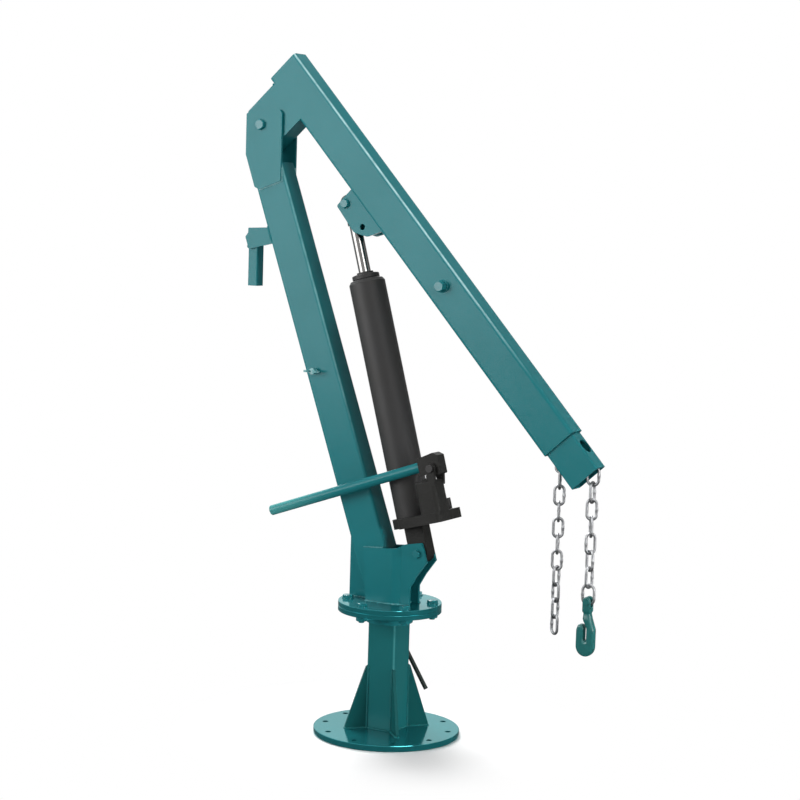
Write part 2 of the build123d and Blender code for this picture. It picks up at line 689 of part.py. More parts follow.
eye_neck = ROD_DIAMETER + 2 * EYE_NECK_WALL
ear_inner = max(EYE_WIDTH, eye_neck) / 2 + EYE_PLAY
ear_outer = ear_inner + EAR
ear_bottom = JACK_HEAD_RISE - EAR_BELOW
ear_profile = (
    (JACK_HEAD_ALONG - EAR_REAR, BOOM_RISE),
    (JACK_HEAD_ALONG - EAR_REAR, boom_under),
    *((JACK_HEAD_ALONG + along, ear_bottom + rise) for along, rise in EAR_OUTLINE),
    (JACK_HEAD_ALONG + EAR_FRONT, boom_under),
    (JACK_HEAD_ALONG + EAR_FRONT, BOOM_RISE),
)
head_hole = cross(JACK_HEAD_ALONG, JACK_HEAD_RISE, HEAD_PIN + 2 * BOLT_PLAY, -MAST_WIDTH, MAST_WIDTH)
ear_cut = boom_solid + head_hole + Pos(SPARE_HOLE_STEP, 0, 0) * head_hole
ears = pair(ear_profile, ear_inner, EAR, EAR_CORNER)
save(boom_frame * together(ear - ear_cut for ear in ears), "boom_ears")
stub_pin = bolt(HEAD_PIN, ear_outer - EYE_WIDTH / 2 - HEAD_PIN_GAP)
near_stub = across(JACK_HEAD_ALONG, JACK_HEAD_RISE, -ear_outer, stub_pin, 1)
far_stub = across(JACK_HEAD_ALONG, JACK_HEAD_RISE, ear_outer, stub_pin, -1)
save(boom_frame * together((near_stub, far_stub)), "head_pin_stubs")

# Lock bolt for the extension, in a nut welded to the near side of the boom

extension_height = boom_inside - 2 * EXTENSION_PLAY
extension_width = boom_inside_width - 2 * EXTENSION_PLAY
lock_nut = nut(LOCK_BOLT, LOCK_NUT_HEIGHT)
save(boom_frame * across(LOCK_BOLT_ALONG, BOOM_RISE, -boom_half, lock_nut, -1), "boom_lock_nut")
lock_seat = -boom_half - LOCK_NUT_HEIGHT - LOCK_HEAD_GAP
lock_bolt = bolt(LOCK_BOLT, -extension_width / 2 - TIP_PLAY - lock_seat)
save(boom_frame * across(LOCK_BOLT_ALONG, BOOM_RISE, lock_seat, lock_bolt, 1), "boom_lock_bolt")

# Sliding extension with a round hole near its tip, the chain bar in its mouth and a loop below

extension_length = EXTENSION_FRONT - EXTENSION_REAR
extension_start = boom_section * Pos(0, 0, EXTENSION_REAR)
extension_sizes = (extension_height, extension_width)
extension = extension_start * box_tube(*extension_sizes, EXTENSION_WALL, EXTENSION_CORNER, extension_length)
extension_solid = extension_start * box_bar(*extension_sizes, EXTENSION_CORNER, extension_length)
tip_place = Pos(EXTENSION_FRONT - TIP_HOLE_INSET, 0, BOOM_RISE)
tip_hole = tip_place * Cylinder(TIP_HOLE / 2, extension_height, align=LOW)
save(boom_frame * (extension - tip_hole), "extension_tube")
bar_along = EXTENSION_FRONT - CHAIN_BAR_INSET
bar_rise = BOOM_RISE + CHAIN_BAR_RISE
bar_half = extension_width / 2 - EXTENSION_WALL
save(boom_frame * cross(bar_along, bar_rise, CHAIN_BAR, -bar_half, bar_half), "chain_bar")
bend = (LINK_WIDTH - WIRE) / 2
extension_under = BOOM_RISE - extension_height / 2
loop_rise = extension_under - TAIL_LOOP_DROP
loop_along = EXTENSION_FRONT - TAIL_INSET
loop_root = extension_under + WIRE / 2
loop_left = Line((-bend, 0, loop_root), (-bend, 0, loop_rise))
loop_bow = ThreePointArc((-bend, 0, loop_rise), (0, 0, loop_rise - bend), (bend, 0, loop_rise))
loop_right = Line((bend, 0, loop_rise), (bend, 0, loop_root))
loop_start = Plane(origin=(-bend, 0, loop_root), z_dir=(0, 0, -1))
loop = sweep(loop_start * Circle(WIRE / 2), path=loop_left + loop_bow + loop_right)
save(boom_frame * (Pos(loop_along, TAIL_Y, 0) * loop - extension_solid), "chain_loop")

# Chain links: plain ones, and wide rings at both ends of the load strand


def chain_link(width, inside):
    turn = (width - WIRE) / 2
    half = inside / 2 + WIRE / 2 - turn
    leg = Line((turn, 0, -half), (turn, 0, half))
    top = ThreePointArc((turn, 0, half), (0, 0, half + turn), (-turn, 0, half))
    other = Line((-turn, 0, half), (-turn, 0, -half))
    foot = ThreePointArc((-turn, 0, -half), (0, 0, -half - turn), (turn, 0, -half))
    start = Plane(origin=(turn, 0, -half), z_dir=(0, 0, 1))
    return sweep(start * Circle(WIRE / 2), path=leg + top + other + foot)


def strand(x, y, top_wire, links, inside):
    shapes = []
    height = top_wire - (inside + WIRE) / 2
    for turn, width in links:
        shapes.append(Pos(x, y, height) * Rot(0, 0, turn) * chain_link(width, inside))
        height = height - inside + LINK_PLAY
    return together(shapes)


def wire_below(top_wire, count):
    return top_wire - LINK_INSIDE - WIRE - (count - 1) * (LINK_INSIDE - LINK_PLAY)


load_x, bar_z = on_boom(bar_along, bar_rise)
load_top = bar_z + CHAIN_BAR / 2 + WIRE / 2 + LINK_PLAY / 2
upper_links = [(90 * step, LINK_WIDTH if step else RING_WIDTH) for step in range(UPPER_LINKS)]
save(strand(load_x, 0, load_top, upper_links, LINK_INSIDE), "load_chain_upper")
joint_z = wire_below(load_top, UPPER_LINKS)
lower_top = joint_z + WIRE + LINK_PLAY
last = LOWER_LINKS - 1
whole_turn = 180 * round((LOWER_TURN + LINK_TWIST * last) / 180) - LOWER_TURN
lower_turns = [LOWER_TURN + whole_turn * step / last for step in range(LOWER_LINKS)]
lower_links = [(turn, LINK_WIDTH) for turn in lower_turns[:-1]] + [(lower_turns[-1], RING_WIDTH)]
save(strand(load_x, 0, lower_top, lower_links, LINK_INSIDE), "load_chain_lower")
loop_x, loop_z = on_boom(loop_along, loop_rise)
tail_top = loop_z - (bend - WIRE - LINK_PLAY / 2)
tail_links = [(turn, LINK_WIDTH) for turn in TAIL_TURNS]
save(strand(loop_x, TAIL_Y, tail_top, tail_links, TAIL_LINK_INSIDE), "tail_chain")

# Forged clevis hook with a narrow slot that grabs one link

pin_z = wire_below(lower_top, LOWER_LINKS) + WIRE / 2 + CLEVIS_PIN / 2 + LINK_PLAY / 2
clevis_half = CLEVIS_WIDTH / 2
clevis = cross(0, 0, CLEVIS_DEPTH, -clevis_half, clevis_half)
clevis = clevis + Box(CLEVIS_DEPTH, CLEVIS_WIDTH, NECK_TOP, align=HIGH)
clevis = chamfer(clevis.edges().filter_by(GeomType.LINE).group_by(Axis.Z)[0], HOOK_EDGE)
slot_low = Pos(0, 0, -CLEVIS_FLOOR)
clevis = clevis - slot_low * Box(THROUGH, CLEVIS_GAP, THROUGH, align=LOW)
clevis = clevis - cross(0, 0, CLEVIS_PIN + 2 * RUNNING, -CLEVIS_WIDTH, CLEVIS_WIDTH)
slot_left = HOOK_SLOT_X - HOOK_SLOT / 2
slot_right = HOOK_SLOT_X + HOOK_SLOT / 2
bowl_left = HOOK_SLOT_X - HOOK_BOWL
bowl_right = HOOK_SLOT_X + HOOK_BOWL
neck_half = CLEVIS_DEPTH / 2 - HOOK_EDGE / 2
tip_side = Polyline(
    (bowl_left, -HOOK_BOWL_DEPTH),
    (bowl_left, -HOOK_TIP_DEPTH - HOOK_TIP_CUT[1]),
    (bowl_left + HOOK_TIP_CUT[0], -HOOK_TIP_DEPTH),
    (slot_left - HOOK_MOUTH_CUT[0], -HOOK_TIP_DEPTH),
    (slot_left, -HOOK_TIP_DEPTH - HOOK_MOUTH_CUT[1]),
    (slot_left, -HOOK_SLOT_DEPTH),
)
slot_bow = ThreePointArc(
    (slot_left, -HOOK_SLOT_DEPTH),
    (HOOK_SLOT_X, -HOOK_SLOT_DEPTH - HOOK_SLOT / 2),
    (slot_right, -HOOK_SLOT_DEPTH),
)
back_side = Polyline(
    (slot_right, -HOOK_SLOT_DEPTH),
    (slot_right, -HOOK_TIP_DEPTH - HOOK_THROAT_DROP),
    (-neck_half, -HOOK_TIP_DEPTH + HOOK_WAIST_RISE),
    (-neck_half, -NECK_TOP + HOOK_EDGE),
    (neck_half, -NECK_TOP + HOOK_EDGE),
    (neck_half + HOOK_WAIST_LIP, -HOOK_TIP_DEPTH + HOOK_WAIST_RISE),
    (bowl_right, -HOOK_TIP_DEPTH - HOOK_BACK_DROP),
    (bowl_right, -HOOK_BOWL_DEPTH),
)
bowl_bow = ThreePointArc(
    (bowl_right, -HOOK_BOWL_DEPTH),
    (HOOK_SLOT_X, -HOOK_BOWL_DEPTH - HOOK_BOWL),
    (bowl_left, -HOOK_BOWL_DEPTH),
)
outline = make_face(tip_side + slot_bow + back_side + bowl_bow)
rounded = outline.vertices().filter_by(lambda v: -HOOK_SLOT_DEPTH < v.Y < -NECK_TOP)
outline = fillet(rounded, HOOK_CORNER)
side_plane = Plane(origin=(0, 0, 0), x_dir=(1, 0, 0), z_dir=(0, -1, 0))
forging = extrude(side_plane * outline, HOOK_THICKNESS / 2, both=True)
rims = forging.faces().filter_by(Axis.Y).edges()
forging = fillet(rims, HOOK_EDGE)
hook_place = Pos(load_x, 0, pin_z)
save(hook_place * (clevis + forging), "grab_hook")
pin_tail = cross(0, 0, CLEVIS_PIN, -clevis_half, clevis_half + CLEVIS_PIN_END)
pin_head = cross(0, 0, CLEVIS_PIN_HEAD, -clevis_half - CLEVIS_PIN_END, -clevis_half)
save(hook_place * (pin_tail + pin_head), "clevis_pin")

# Jack: foot, base casting with the pump block, tubes and cap

foot = cross(0, 0, FOOT_DEPTH, -FOOT_WIDTH / 2, FOOT_WIDTH / 2)
foot = foot + Box(FOOT_DEPTH, FOOT_WIDTH, JACK_PLATE_BOTTOM, align=LOW)
save(jack_frame * (foot - cross(0, 0, FOOT_BOLT + 2 * RUNNING, -FOOT_WIDTH, FOOT_WIDTH)), "jack_foot")
PUMP_Y = -(CYLINDER_DIAMETER / 2 + HANDLE_GAP + HANDLE_DIAMETER / 2)
plate_height = JACK_PLATE_TOP - JACK_PLATE_BOTTOM
plate_near = PUMP_Y - PUMP_SIDE / 2 - PUMP_LIP
plate_far = VALVE_Y + VALVE_KNOB / 2 + PUMP_LIP
plate_front = PUMP_FRONT - PUMP_LIP
wing_plate = extrude(RectangleRounded(plate_front, plate_far - plate_near, JACK_PLATE_CORNER), plate_height)
plate = disc(CYLINDER_DIAMETER + 2 * JACK_PLATE_LIP, JACK_PLATE_BOTTOM, plate_height)
plate = plate + Pos(plate_front / 2, (plate_near + plate_far) / 2, JACK_PLATE_BOTTOM) * wing_plate
pump = extrude(RectangleRounded(PUMP_FRONT - PUMP_REAR, PUMP_SIDE, PUMP_CORNER), PUMP_TOP - JACK_PLATE_TOP)
pump = fillet(pump.edges().group_by(Axis.Z)[-1], PUMP_EDGE)
pump = Pos((PUMP_REAR + PUMP_FRONT) / 2, PUMP_Y, JACK_PLATE_TOP) * pump
gland = Pos(PLUNGER_X, PUMP_Y, 0) * disc(PLUNGER_DIAMETER + 2 * GLAND_WALL, PUMP_TOP, GLAND_HEIGHT)
fork_x, fork_z = ROCKER_PIVOT
fork_inner = ROCKER_WIDTH / 2 + FORK_PLAY
fork_outer = PUMP_SIDE / 2
fork_left = fork_x - FORK_EYE / 2
fork_leg = (
    (fork_left, PUMP_TOP - FORK_ROOT),
    (PUMP_FRONT, PUMP_TOP - FORK_ROOT),
    (fork_x + FORK_EYE / 2, fork_z),
    (fork_left, fork_z),
)
rocker_hole = cross(fork_x, fork_z, ROCKER_PIN + 2 * RUNNING, PUMP_Y - PUMP_SIDE, PUMP_Y + PUMP_SIDE)
casting = plate + pump + gland
for low, high in ((-fork_outer, -fork_inner), (fork_inner, fork_outer)):
    fork = cross(fork_x, fork_z, FORK_EYE, low, high) + upright(fork_leg, low, high)
    casting = casting + Pos(0, PUMP_Y, 0) * fork
plunger_bottom = PUMP_TOP - PLUNGER_DEPTH
plunger_bore = Cylinder(PLUNGER_DIAMETER / 2 + RUNNING, THROUGH, align=LOW)
valve_floor = JACK_PLATE_TOP - VALVE_DEPTH - SIDE_PLAY
valve_bore = Cylinder(VALVE_STEM / 2 + RUNNING, THROUGH, align=LOW)
casting = casting - rocker_hole - Pos(PLUNGER_X, PUMP_Y, plunger_bottom) * plunger_bore
save(jack_frame * (casting - Pos(VALVE_X, VALVE_Y, valve_floor) * valve_bore), "jack_base")
tube_length = CYLINDER_TOP - JACK_PLATE_TOP
cylinder = disc(CYLINDER_DIAMETER, JACK_PLATE_TOP, tube_length, CYLINDER_DIAMETER - 2 * CYLINDER_WALL)
save(jack_frame * cylinder, "jack_cylinder")
save(jack_frame * disc(PRESSURE_TUBE, JACK_PLATE_TOP, tube_length, PISTON + 2 * RUNNING), "pressure_tube")
outer_r = CYLINDER_DIAMETER / 2
rod_bore = ROD_DIAMETER / 2 + RUNNING
cap_neck = ROD_DIAMETER / 2 + CAP_NECK_WALL
cap_top = CYLINDER_TOP + CAP_HEIGHT
cap_profile = (
    (rod_bore, CYLINDER_TOP),
    (outer_r, CYLINDER_TOP),
    (outer_r, CYLINDER_TOP + CAP_RIM),
    (outer_r - CAP_INSET, CYLINDER_TOP + CAP_RIM + CAP_SLOPE),
    (cap_neck, CYLINDER_TOP + CAP_RIM + CAP_SLOPE + CAP_SHOULDER),
    (cap_neck, cap_top),
    (rod_bore, cap_top),
)
save(jack_frame * revolve(Plane.XZ * Polygon(*cap_profile, align=None), Axis.Z), "jack_cap")
save(jack_frame * disc(ROD_DIAMETER + 2 * WIPER_LIP, cap_top, WIPER_HEIGHT, 2 * rod_bore), "rod_wiper")

# Ram: chrome rod, piston and head eye

rod_top = JACK_LENGTH - EYE_DIAMETER / 2 - EYE_FLOOR
save(jack_frame * disc(ROD_DIAMETER, PISTON_BOTTOM, rod_top - PISTON_BOTTOM), "ram_rod")
save(jack_frame * disc(PISTON, PISTON_BOTTOM, PISTON_HEIGHT, ROD_DIAMETER + 2 * SEAT), "ram_piston")
eye_bottom = JACK_LENGTH - EYE_REACH
eye = cross(0, JACK_LENGTH, EYE_DIAMETER, -EYE_WIDTH / 2, EYE_WIDTH / 2)
eye = eye + disc(eye_neck, eye_bottom, EYE_REACH - EYE_DIAMETER / 4)
eye = eye - disc(ROD_DIAMETER + 2 * SEAT, eye_bottom - EYE_REACH, rod_top - eye_bottom + EYE_REACH)
eye = eye - cross(0, JACK_LENGTH, HEAD_PIN + 2 * LINK_PLAY, -EYE_DIAMETER, EYE_DIAMETER)
save(jack_frame * eye, "ram_eye")

# Pump rocker, handle and plunger

socket_x, socket_z = SOCKET
rocker_profile = (
    (socket_x + ROCKER_SOCKET_LIP, ROCKER_BOTTOM),
    (fork_x + ROCKER_NECK, ROCKER_BOTTOM),
    *((fork_x + x, fork_z + z) for x, z in ROCKER_OUTLINE),
    (socket_x, socket_z + ROCKER_SOCKET_TOP),
)
rocker = upright(rocker_profile, PUMP_Y - ROCKER_WIDTH / 2, PUMP_Y + ROCKER_WIDTH / 2, ROCKER_CORNER)
slope = radians(HANDLE_DROP)
handle_frame = Plane(
    origin=(socket_x, PUMP_Y, socket_z),
    x_dir=(0, 1, 0),
    z_dir=(-cos(slope), 0, -sin(slope)),
)
handle_hole = Pos(0, 0, -SOCKET_DEPTH) * Cylinder(HANDLE_DIAMETER / 2 + SEAT, THROUGH, align=LOW)
save(jack_frame * (rocker - handle_frame * handle_hole - rocker_hole), "pump_rocker")
handle = disc(HANDLE_DIAMETER, FACE_PLAY - SOCKET_DEPTH, HANDLE_LENGTH, HANDLE_DIAMETER - 2 * HANDLE_WALL)
save(jack_frame * handle_frame * handle, "pump_handle")
pin_near = PUMP_Y - fork_outer
pin_far = PUMP_Y + fork_outer
rocker_pin = cross(fork_x, fork_z, ROCKER_PIN, pin_near, pin_far + ROCKER_PIN_END)
rocker_pin = rocker_pin + cross(fork_x, fork_z, ROCKER_PIN_HEAD, pin_near - 2 * ROCKER_PIN_END, pin_near)
save(jack_frame * rocker_pin, "rocker_pin")
plunger_low = plunger_bottom + PLUNGER_FOOT_GAP
plunger_top = ROCKER_BOTTOM - FOOT_PLAY
plunger_neck = plunger_top - PLUNGER_NECK_HEIGHT
plunger = disc(PLUNGER_DIAMETER, plunger_low, plunger_neck - plunger_low)
plunger = plunger + disc(PLUNGER_NECK, plunger_neck, PLUNGER_NECK_HEIGHT)
save(jack_frame * Pos(PLUNGER_X, PUMP_Y, 0) * plunger, "pump_plunger")

# Release valve on the jack's base

knob_bottom = JACK_PLATE_TOP + TIP_PLAY
valve = disc(VALVE_STEM, JACK_PLATE_TOP - VALVE_DEPTH, VALVE_DEPTH + VALVE_HEIGHT / 2)
valve = valve + disc(VALVE_KNOB, knob_bottom, VALVE_HEIGHT)
slot_floor = knob_bottom + VALVE_HEIGHT - VALVE_SLOT_DEPTH
valve = valve - Pos(0, 0, slot_floor) * Box(VALVE_SLOT, 2 * VALVE_KNOB, VALVE_HEIGHT, align=LOW)
save(jack_frame * Pos(VALVE_X, VALVE_Y, 0) * valve, "release_valve")
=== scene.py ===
# %% [markdown]
# A bolt-down hoist crane
#
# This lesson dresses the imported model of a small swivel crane: a round base plate, a leaning
# mast, a telescopic boom lifted by a long hydraulic jack, and a chain with a grab hook.
# The solids already have their shape and place. Blender adds what a drawing leaves out:
# powder coat, chrome, zinc, weld seams, chamfered bolts, screw threads, the soft edges of a
# forged hook and studio light.

import json
from math import cos, pi, radians, sin

import bmesh
import bpy
from mathutils import Matrix, Vector


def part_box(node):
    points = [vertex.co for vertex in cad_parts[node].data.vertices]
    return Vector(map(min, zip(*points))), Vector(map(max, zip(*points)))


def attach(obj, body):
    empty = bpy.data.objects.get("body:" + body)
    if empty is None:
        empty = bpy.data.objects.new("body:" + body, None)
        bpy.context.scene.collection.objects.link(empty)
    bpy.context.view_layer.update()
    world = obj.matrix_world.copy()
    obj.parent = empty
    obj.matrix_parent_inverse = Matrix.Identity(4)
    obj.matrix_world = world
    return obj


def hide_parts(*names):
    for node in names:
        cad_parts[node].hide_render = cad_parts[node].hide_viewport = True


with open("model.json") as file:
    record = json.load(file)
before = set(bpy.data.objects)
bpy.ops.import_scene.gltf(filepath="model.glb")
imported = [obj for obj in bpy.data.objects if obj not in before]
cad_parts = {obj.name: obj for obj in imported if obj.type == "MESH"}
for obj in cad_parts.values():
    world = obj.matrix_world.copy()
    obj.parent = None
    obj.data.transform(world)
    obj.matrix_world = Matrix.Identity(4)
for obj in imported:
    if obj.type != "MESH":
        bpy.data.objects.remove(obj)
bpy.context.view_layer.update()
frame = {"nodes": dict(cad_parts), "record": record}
nodes = frame["nodes"]

# %% [markdown]
# The camera
#
# The picture was taken with a long lens from the right of the boom and a little above its
# middle. A camera can be aimed by eye or by a tracking constraint. Here its three axes are
# written from the turn, the dip and the roll, because those are what was measured.

# %% Camera
CAMERA_TURN = radians(29.7648)
CAMERA_DIP = radians(5.704)
CAMERA_ROLL = radians(1.7152)
CAMERA_PLACE = (1.9919, -3.4666, 1.0872)
CAMERA_LENS = 89.3
CAMERA_SENSOR = 36.0


def new_object(name, data):
    made = bpy.data.objects.new(name, data)
    bpy.context.scene.collection.objects.link(made)
    return made


right = Vector((cos(CAMERA_TURN), sin(CAMERA_TURN), 0))
level = Vector((-sin(CAMERA_TURN), cos(CAMERA_TURN), 0))
forward = level * cos(CAMERA_DIP) - Vector((0, 0, sin(CAMERA_DIP)))
down = forward.cross(right)
rolled_right = right * cos(CAMERA_ROLL) - down * sin(CAMERA_ROLL)
rolled_down = right * sin(CAMERA_ROLL) + down * cos(CAMERA_ROLL)
turn = Matrix((rolled_right, -rolled_down, -forward)).transposed().to_4x4()
camera_data = bpy.data.cameras.new("camera")
camera_data.lens = CAMERA_LENS
camera_data.sensor_width = CAMERA_SENSOR
camera_data.clip_end = 100
camera = new_object("camera", camera_data)
camera.matrix_world = Matrix.Translation(CAMERA_PLACE) @ turn
bpy.context.scene.camera = camera
print("camera at", CAMERA_PLACE)

# %% [markdown]
# Nodes in a few words
#
# Every finish and every repeated piece below is a small graph. Writing each node by hand takes
# many lines, so one helper adds a node with its values, and another joins a socket, or a plain
# number, to a socket.


# %% Node helpers
def add(tree, kind, **values):
    node = tree.nodes.new(kind)
    for name, value in values.items():
        if hasattr(node, name):
            setattr(node, name, value)
        else:
            node.inputs[name.replace("_", " ")].default_value = value
    return node


def join(tree, source, target):
    if isinstance(source, (int, float)):
        target.default_value = source
    else:
        tree.links.new(source, target)


def between(tree, value, low, high):
    spread = add(tree, "ShaderNodeMapRange", To_Min=low, To_Max=high)
    join(tree, value, spread.inputs["Value"])
    return spread.outputs["Result"]


def reckon(tree, operation, *values):
    sum_node = add(tree, "ShaderNodeMath", operation=operation)
    for value, slot in zip(values, sum_node.inputs):
        join(tree, value, slot)
    return sum_node.outputs[0]


def new_group(name, kind, inputs, outputs):
    group = bpy.data.node_groups.new(name, kind)
    for label, socket_kind, value in inputs:
        socket = group.interface.new_socket(name=label, in_out="INPUT", socket_type=socket_kind)
        if value is not None:
            socket.default_value = value
    for label, socket_kind in outputs:
        group.interface.new_socket(name=label, in_out="OUTPUT", socket_type=socket_kind)
    return group, group.nodes.new("NodeGroupInput"), group.nodes.new("NodeGroupOutput")


GEOMETRY = "NodeSocketGeometry"
FLOAT = "NodeSocketFloat"
VECTOR = "NodeSocketVector"
MATERIAL = "NodeSocketMaterial"


# %% [markdown]
# What all the coatings share
#
# Powder coat and enamel flow a little before they set, which leaves a fine orange peel, and no
# coat is quite even in tone. An image could show that. A group of noises does it at any scale,
# and each finish places the same group with its own sizes.

# %% The coating group
coating, coat_in, coat_out = new_group(
    "coating",
    "ShaderNodeTree",
    (("Peel Scale", FLOAT, 700.0), ("Cloud Scale", FLOAT, 9.0)),
    (("Cloud", FLOAT), ("Height", FLOAT)),
)
coat_place = add(coating, "ShaderNodeTexCoord")
peel = add(coating, "ShaderNodeTexNoise", Detail=2.0, Roughness=0.45)
cloud = add(coating, "ShaderNodeTexNoise", Detail=4.0, Roughness=0.6)
for noise in (peel, cloud):
    join(coating, coat_place.outputs["Object"], noise.inputs["Vector"])
join(coating, coat_in.outputs["Peel Scale"], peel.inputs["Scale"])
join(coating, coat_in.outputs["Cloud Scale"], cloud.inputs["Scale"])
join(coating, cloud.outputs["Fac"], coat_out.inputs["Cloud"])
join(coating, peel.outputs["Fac"], coat_out.inputs["Height"])
print("coating group", len(coating.nodes), "nodes")

# %% [markdown]
# Painted highlights on tube edges
#
# Along the rounded corners of the tubes a light line runs down the boom and the mast. It is a
# painted highlight: a lighter teal where a glossy corner would catch the light. A bevel node would
# find every edge alike. This group asks how near a point is to the side and to the leading face
# of one tube, so only those corners show the painted highlight.

# %% The painted edge highlight group
GLINT_REACH = 0.005
GLINT_SCALE = 38.0
GLINT_SPREAD = (0.4, 3.4)
edge_wear, highlight_in, highlight_out = new_group(
    "edge_wear",
    "ShaderNodeTree",
    (
        ("Face Way", VECTOR, (0.0, 0.0, 1.0)), ("Face Place", FLOAT, 0.05),
        ("Side Place", FLOAT, 0.025), ("Reach", FLOAT, GLINT_REACH),
        ("Fade Low", FLOAT, 0.0), ("Fade High", FLOAT, 1.0),
    ),
    (("Highlight", FLOAT),),
)


def eased(tree, value, start, end):
    ramp = add(tree, "ShaderNodeMapRange", interpolation_type="SMOOTHSTEP")
    join(tree, value, ramp.inputs["Value"])
    join(tree, start, ramp.inputs["From Min"])
    join(tree, end, ramp.inputs["From Max"])
    return ramp.outputs["Result"]


def nearness(tree, value, place):
    start = reckon(tree, "SUBTRACT", place, highlight_in.outputs["Reach"])
    return eased(tree, value, start, place)


highlight_place = add(edge_wear, "ShaderNodeTexCoord")
highlight_split = add(edge_wear, "ShaderNodeSeparateXYZ")
side_reach = add(edge_wear, "ShaderNodeMath", operation="ABSOLUTE")
face_reach = add(edge_wear, "ShaderNodeVectorMath", operation="DOT_PRODUCT")
# Noise breaks the painted highlight into patches, and it fades in with height
glint_noise = add(edge_wear, "ShaderNodeTexNoise", Scale=GLINT_SCALE, Detail=3.0)
join(edge_wear, highlight_place.outputs["Object"], highlight_split.inputs[0])
join(edge_wear, highlight_place.outputs["Object"], face_reach.inputs[0])
join(edge_wear, highlight_place.outputs["Object"], glint_noise.inputs["Vector"])
join(edge_wear, highlight_in.outputs["Face Way"], face_reach.inputs[1])
join(edge_wear, highlight_split.outputs["Y"], side_reach.inputs[0])
on_side = nearness(edge_wear, side_reach.outputs[0], highlight_in.outputs["Side Place"])
on_face = nearness(edge_wear, face_reach.outputs["Value"], highlight_in.outputs["Face Place"])
fade_ends = (highlight_in.outputs["Fade Low"], highlight_in.outputs["Fade High"])
fading = eased(edge_wear, highlight_split.outputs["Z"], *fade_ends)
glint_patches = reckon(edge_wear, "MULTIPLY", between(edge_wear, glint_noise.outputs["Fac"], *GLINT_SPREAD), fading)
corner = reckon(edge_wear, "MULTIPLY", on_side, on_face)
glint_mask = reckon(edge_wear, "MULTIPLY", corner, glint_patches)
join(edge_wear, reckon(edge_wear, "MINIMUM", glint_mask, 1.0), highlight_out.inputs["Highlight"])
print("edge wear group", len(edge_wear.nodes), "nodes")

# %% [markdown]
# From a group to a material
#
# A material places a group and joins what it gives to the colour, the roughness and the bump of
# one Principled shader. That could be drawn anew for each finish. Small functions do it here: one
# starts a material, one mixes two tones, one lays a coat, and two mix a lighter tone over a coat,
# which on the tube edges is a painted highlight.

# %% Start of a material
MIX_FIRST, MIX_SECOND, MIX_RESULT = 6, 7, 2
COAT_SPREAD = (-0.6, 1.6)
PEEL_STRENGTH = 0.25


def new_material(name, **plain):
    material = bpy.data.materials.new(name)
    material.use_nodes = True
    tree = material.node_tree
    shader = tree.nodes["Principled BSDF"]
    for label, value in plain.items():
        shader.inputs[label.replace("_", " ")].default_value = value
    return material, tree, shader


def two_tones(tree, fac, first, second):
    mix = add(tree, "ShaderNodeMix", data_type="RGBA")
    mix.inputs[MIX_FIRST].default_value = (*first, 1)
    mix.inputs[MIX_SECOND].default_value = (*second, 1)
    join(tree, fac, mix.inputs[0])
    return mix.outputs[MIX_RESULT]


def coated(name, tones, gloss, peel_sizes, cloud_scale, **plain):
    material, tree, shader = new_material(name, **plain)
    peel_scale, peel_height = peel_sizes
    grain = add(tree, "ShaderNodeGroup", node_tree=coating)
    grain.inputs["Peel Scale"].default_value = peel_scale
    grain.inputs["Cloud Scale"].default_value = cloud_scale
    tone = two_tones(tree, between(tree, grain.outputs["Cloud"], *COAT_SPREAD), *tones)
    join(tree, tone, shader.inputs["Base Color"])
    join(tree, between(tree, grain.outputs["Cloud"], *gloss), shader.inputs["Roughness"])
    bump = add(tree, "ShaderNodeBump", Strength=PEEL_STRENGTH, Distance=peel_height)
    join(tree, grain.outputs["Height"], bump.inputs["Height"])
    join(tree, bump.outputs["Normal"], shader.inputs["Normal"])
    return material


def over_base(tree, share, top_tone):
    shader = tree.nodes["Principled BSDF"]
    mix = add(tree, "ShaderNodeMix", data_type="RGBA")
    mix.inputs[MIX_SECOND].default_value = (*top_tone, 1)
    join(tree, share, mix.inputs[0])
    join(tree, shader.inputs["Base Color"].links[0].from_socket, mix.inputs[MIX_FIRST])
    join(tree, mix.outputs[MIX_RESULT], shader.inputs["Base Color"])


# Lays a painted highlight over the coat along the leading corners of one tube
def highlight_edges(material, node, way, top_tone, fade):
    points = [vertex.co for vertex in nodes[node].data.vertices]
    tree = material.node_tree
    highlight_node = add(tree, "ShaderNodeGroup", node_tree=edge_wear)
    highlight_node.inputs["Face Way"].default_value = way
    highlight_node.inputs["Face Place"].default_value = max(way.dot(point) for point in points)
    highlight_node.inputs["Side Place"].default_value = max(point.y for point in points)
    highlight_node.inputs["Fade Low"].default_value, highlight_node.inputs["Fade High"].default_value = fade
    over_base(tree, highlight_node.outputs["Highlight"], top_tone)
    nodes[node].data.materials[0] = material
    print(material.name, "on", node)


# %% [markdown]
# The finishes
#
# The crane is powder coated teal. Its plates are glossy enough to mirror what stands on them.
# The base and its gussets are darker teals, painted shade for the low parts where less light
# falls, the weld beads are lighter teals, painted highlights, the wing screw is a lighter teal,
# and the forged hook is greener. The jack is black enamel over steel, and rougher over its
# castings. The ram is hard chrome, the chain bright zinc, and the lock screw has a dark oxide
# skin. One material with masks could carry all the teals, but one for each coat is easier to tune.

# %% Coatings
TEAL = ((0.015, 0.188, 0.210), (0.012, 0.170, 0.188))
# Darker copies of the coat for the base and its gussets: painted shade where less light falls
SHADED_BASE_TEAL = ((0.0138, 0.153, 0.161), (0.0122, 0.139, 0.145))
SHADED_GUSSET_TEAL = ((0.0086, 0.106, 0.108), (0.0074, 0.094, 0.096))
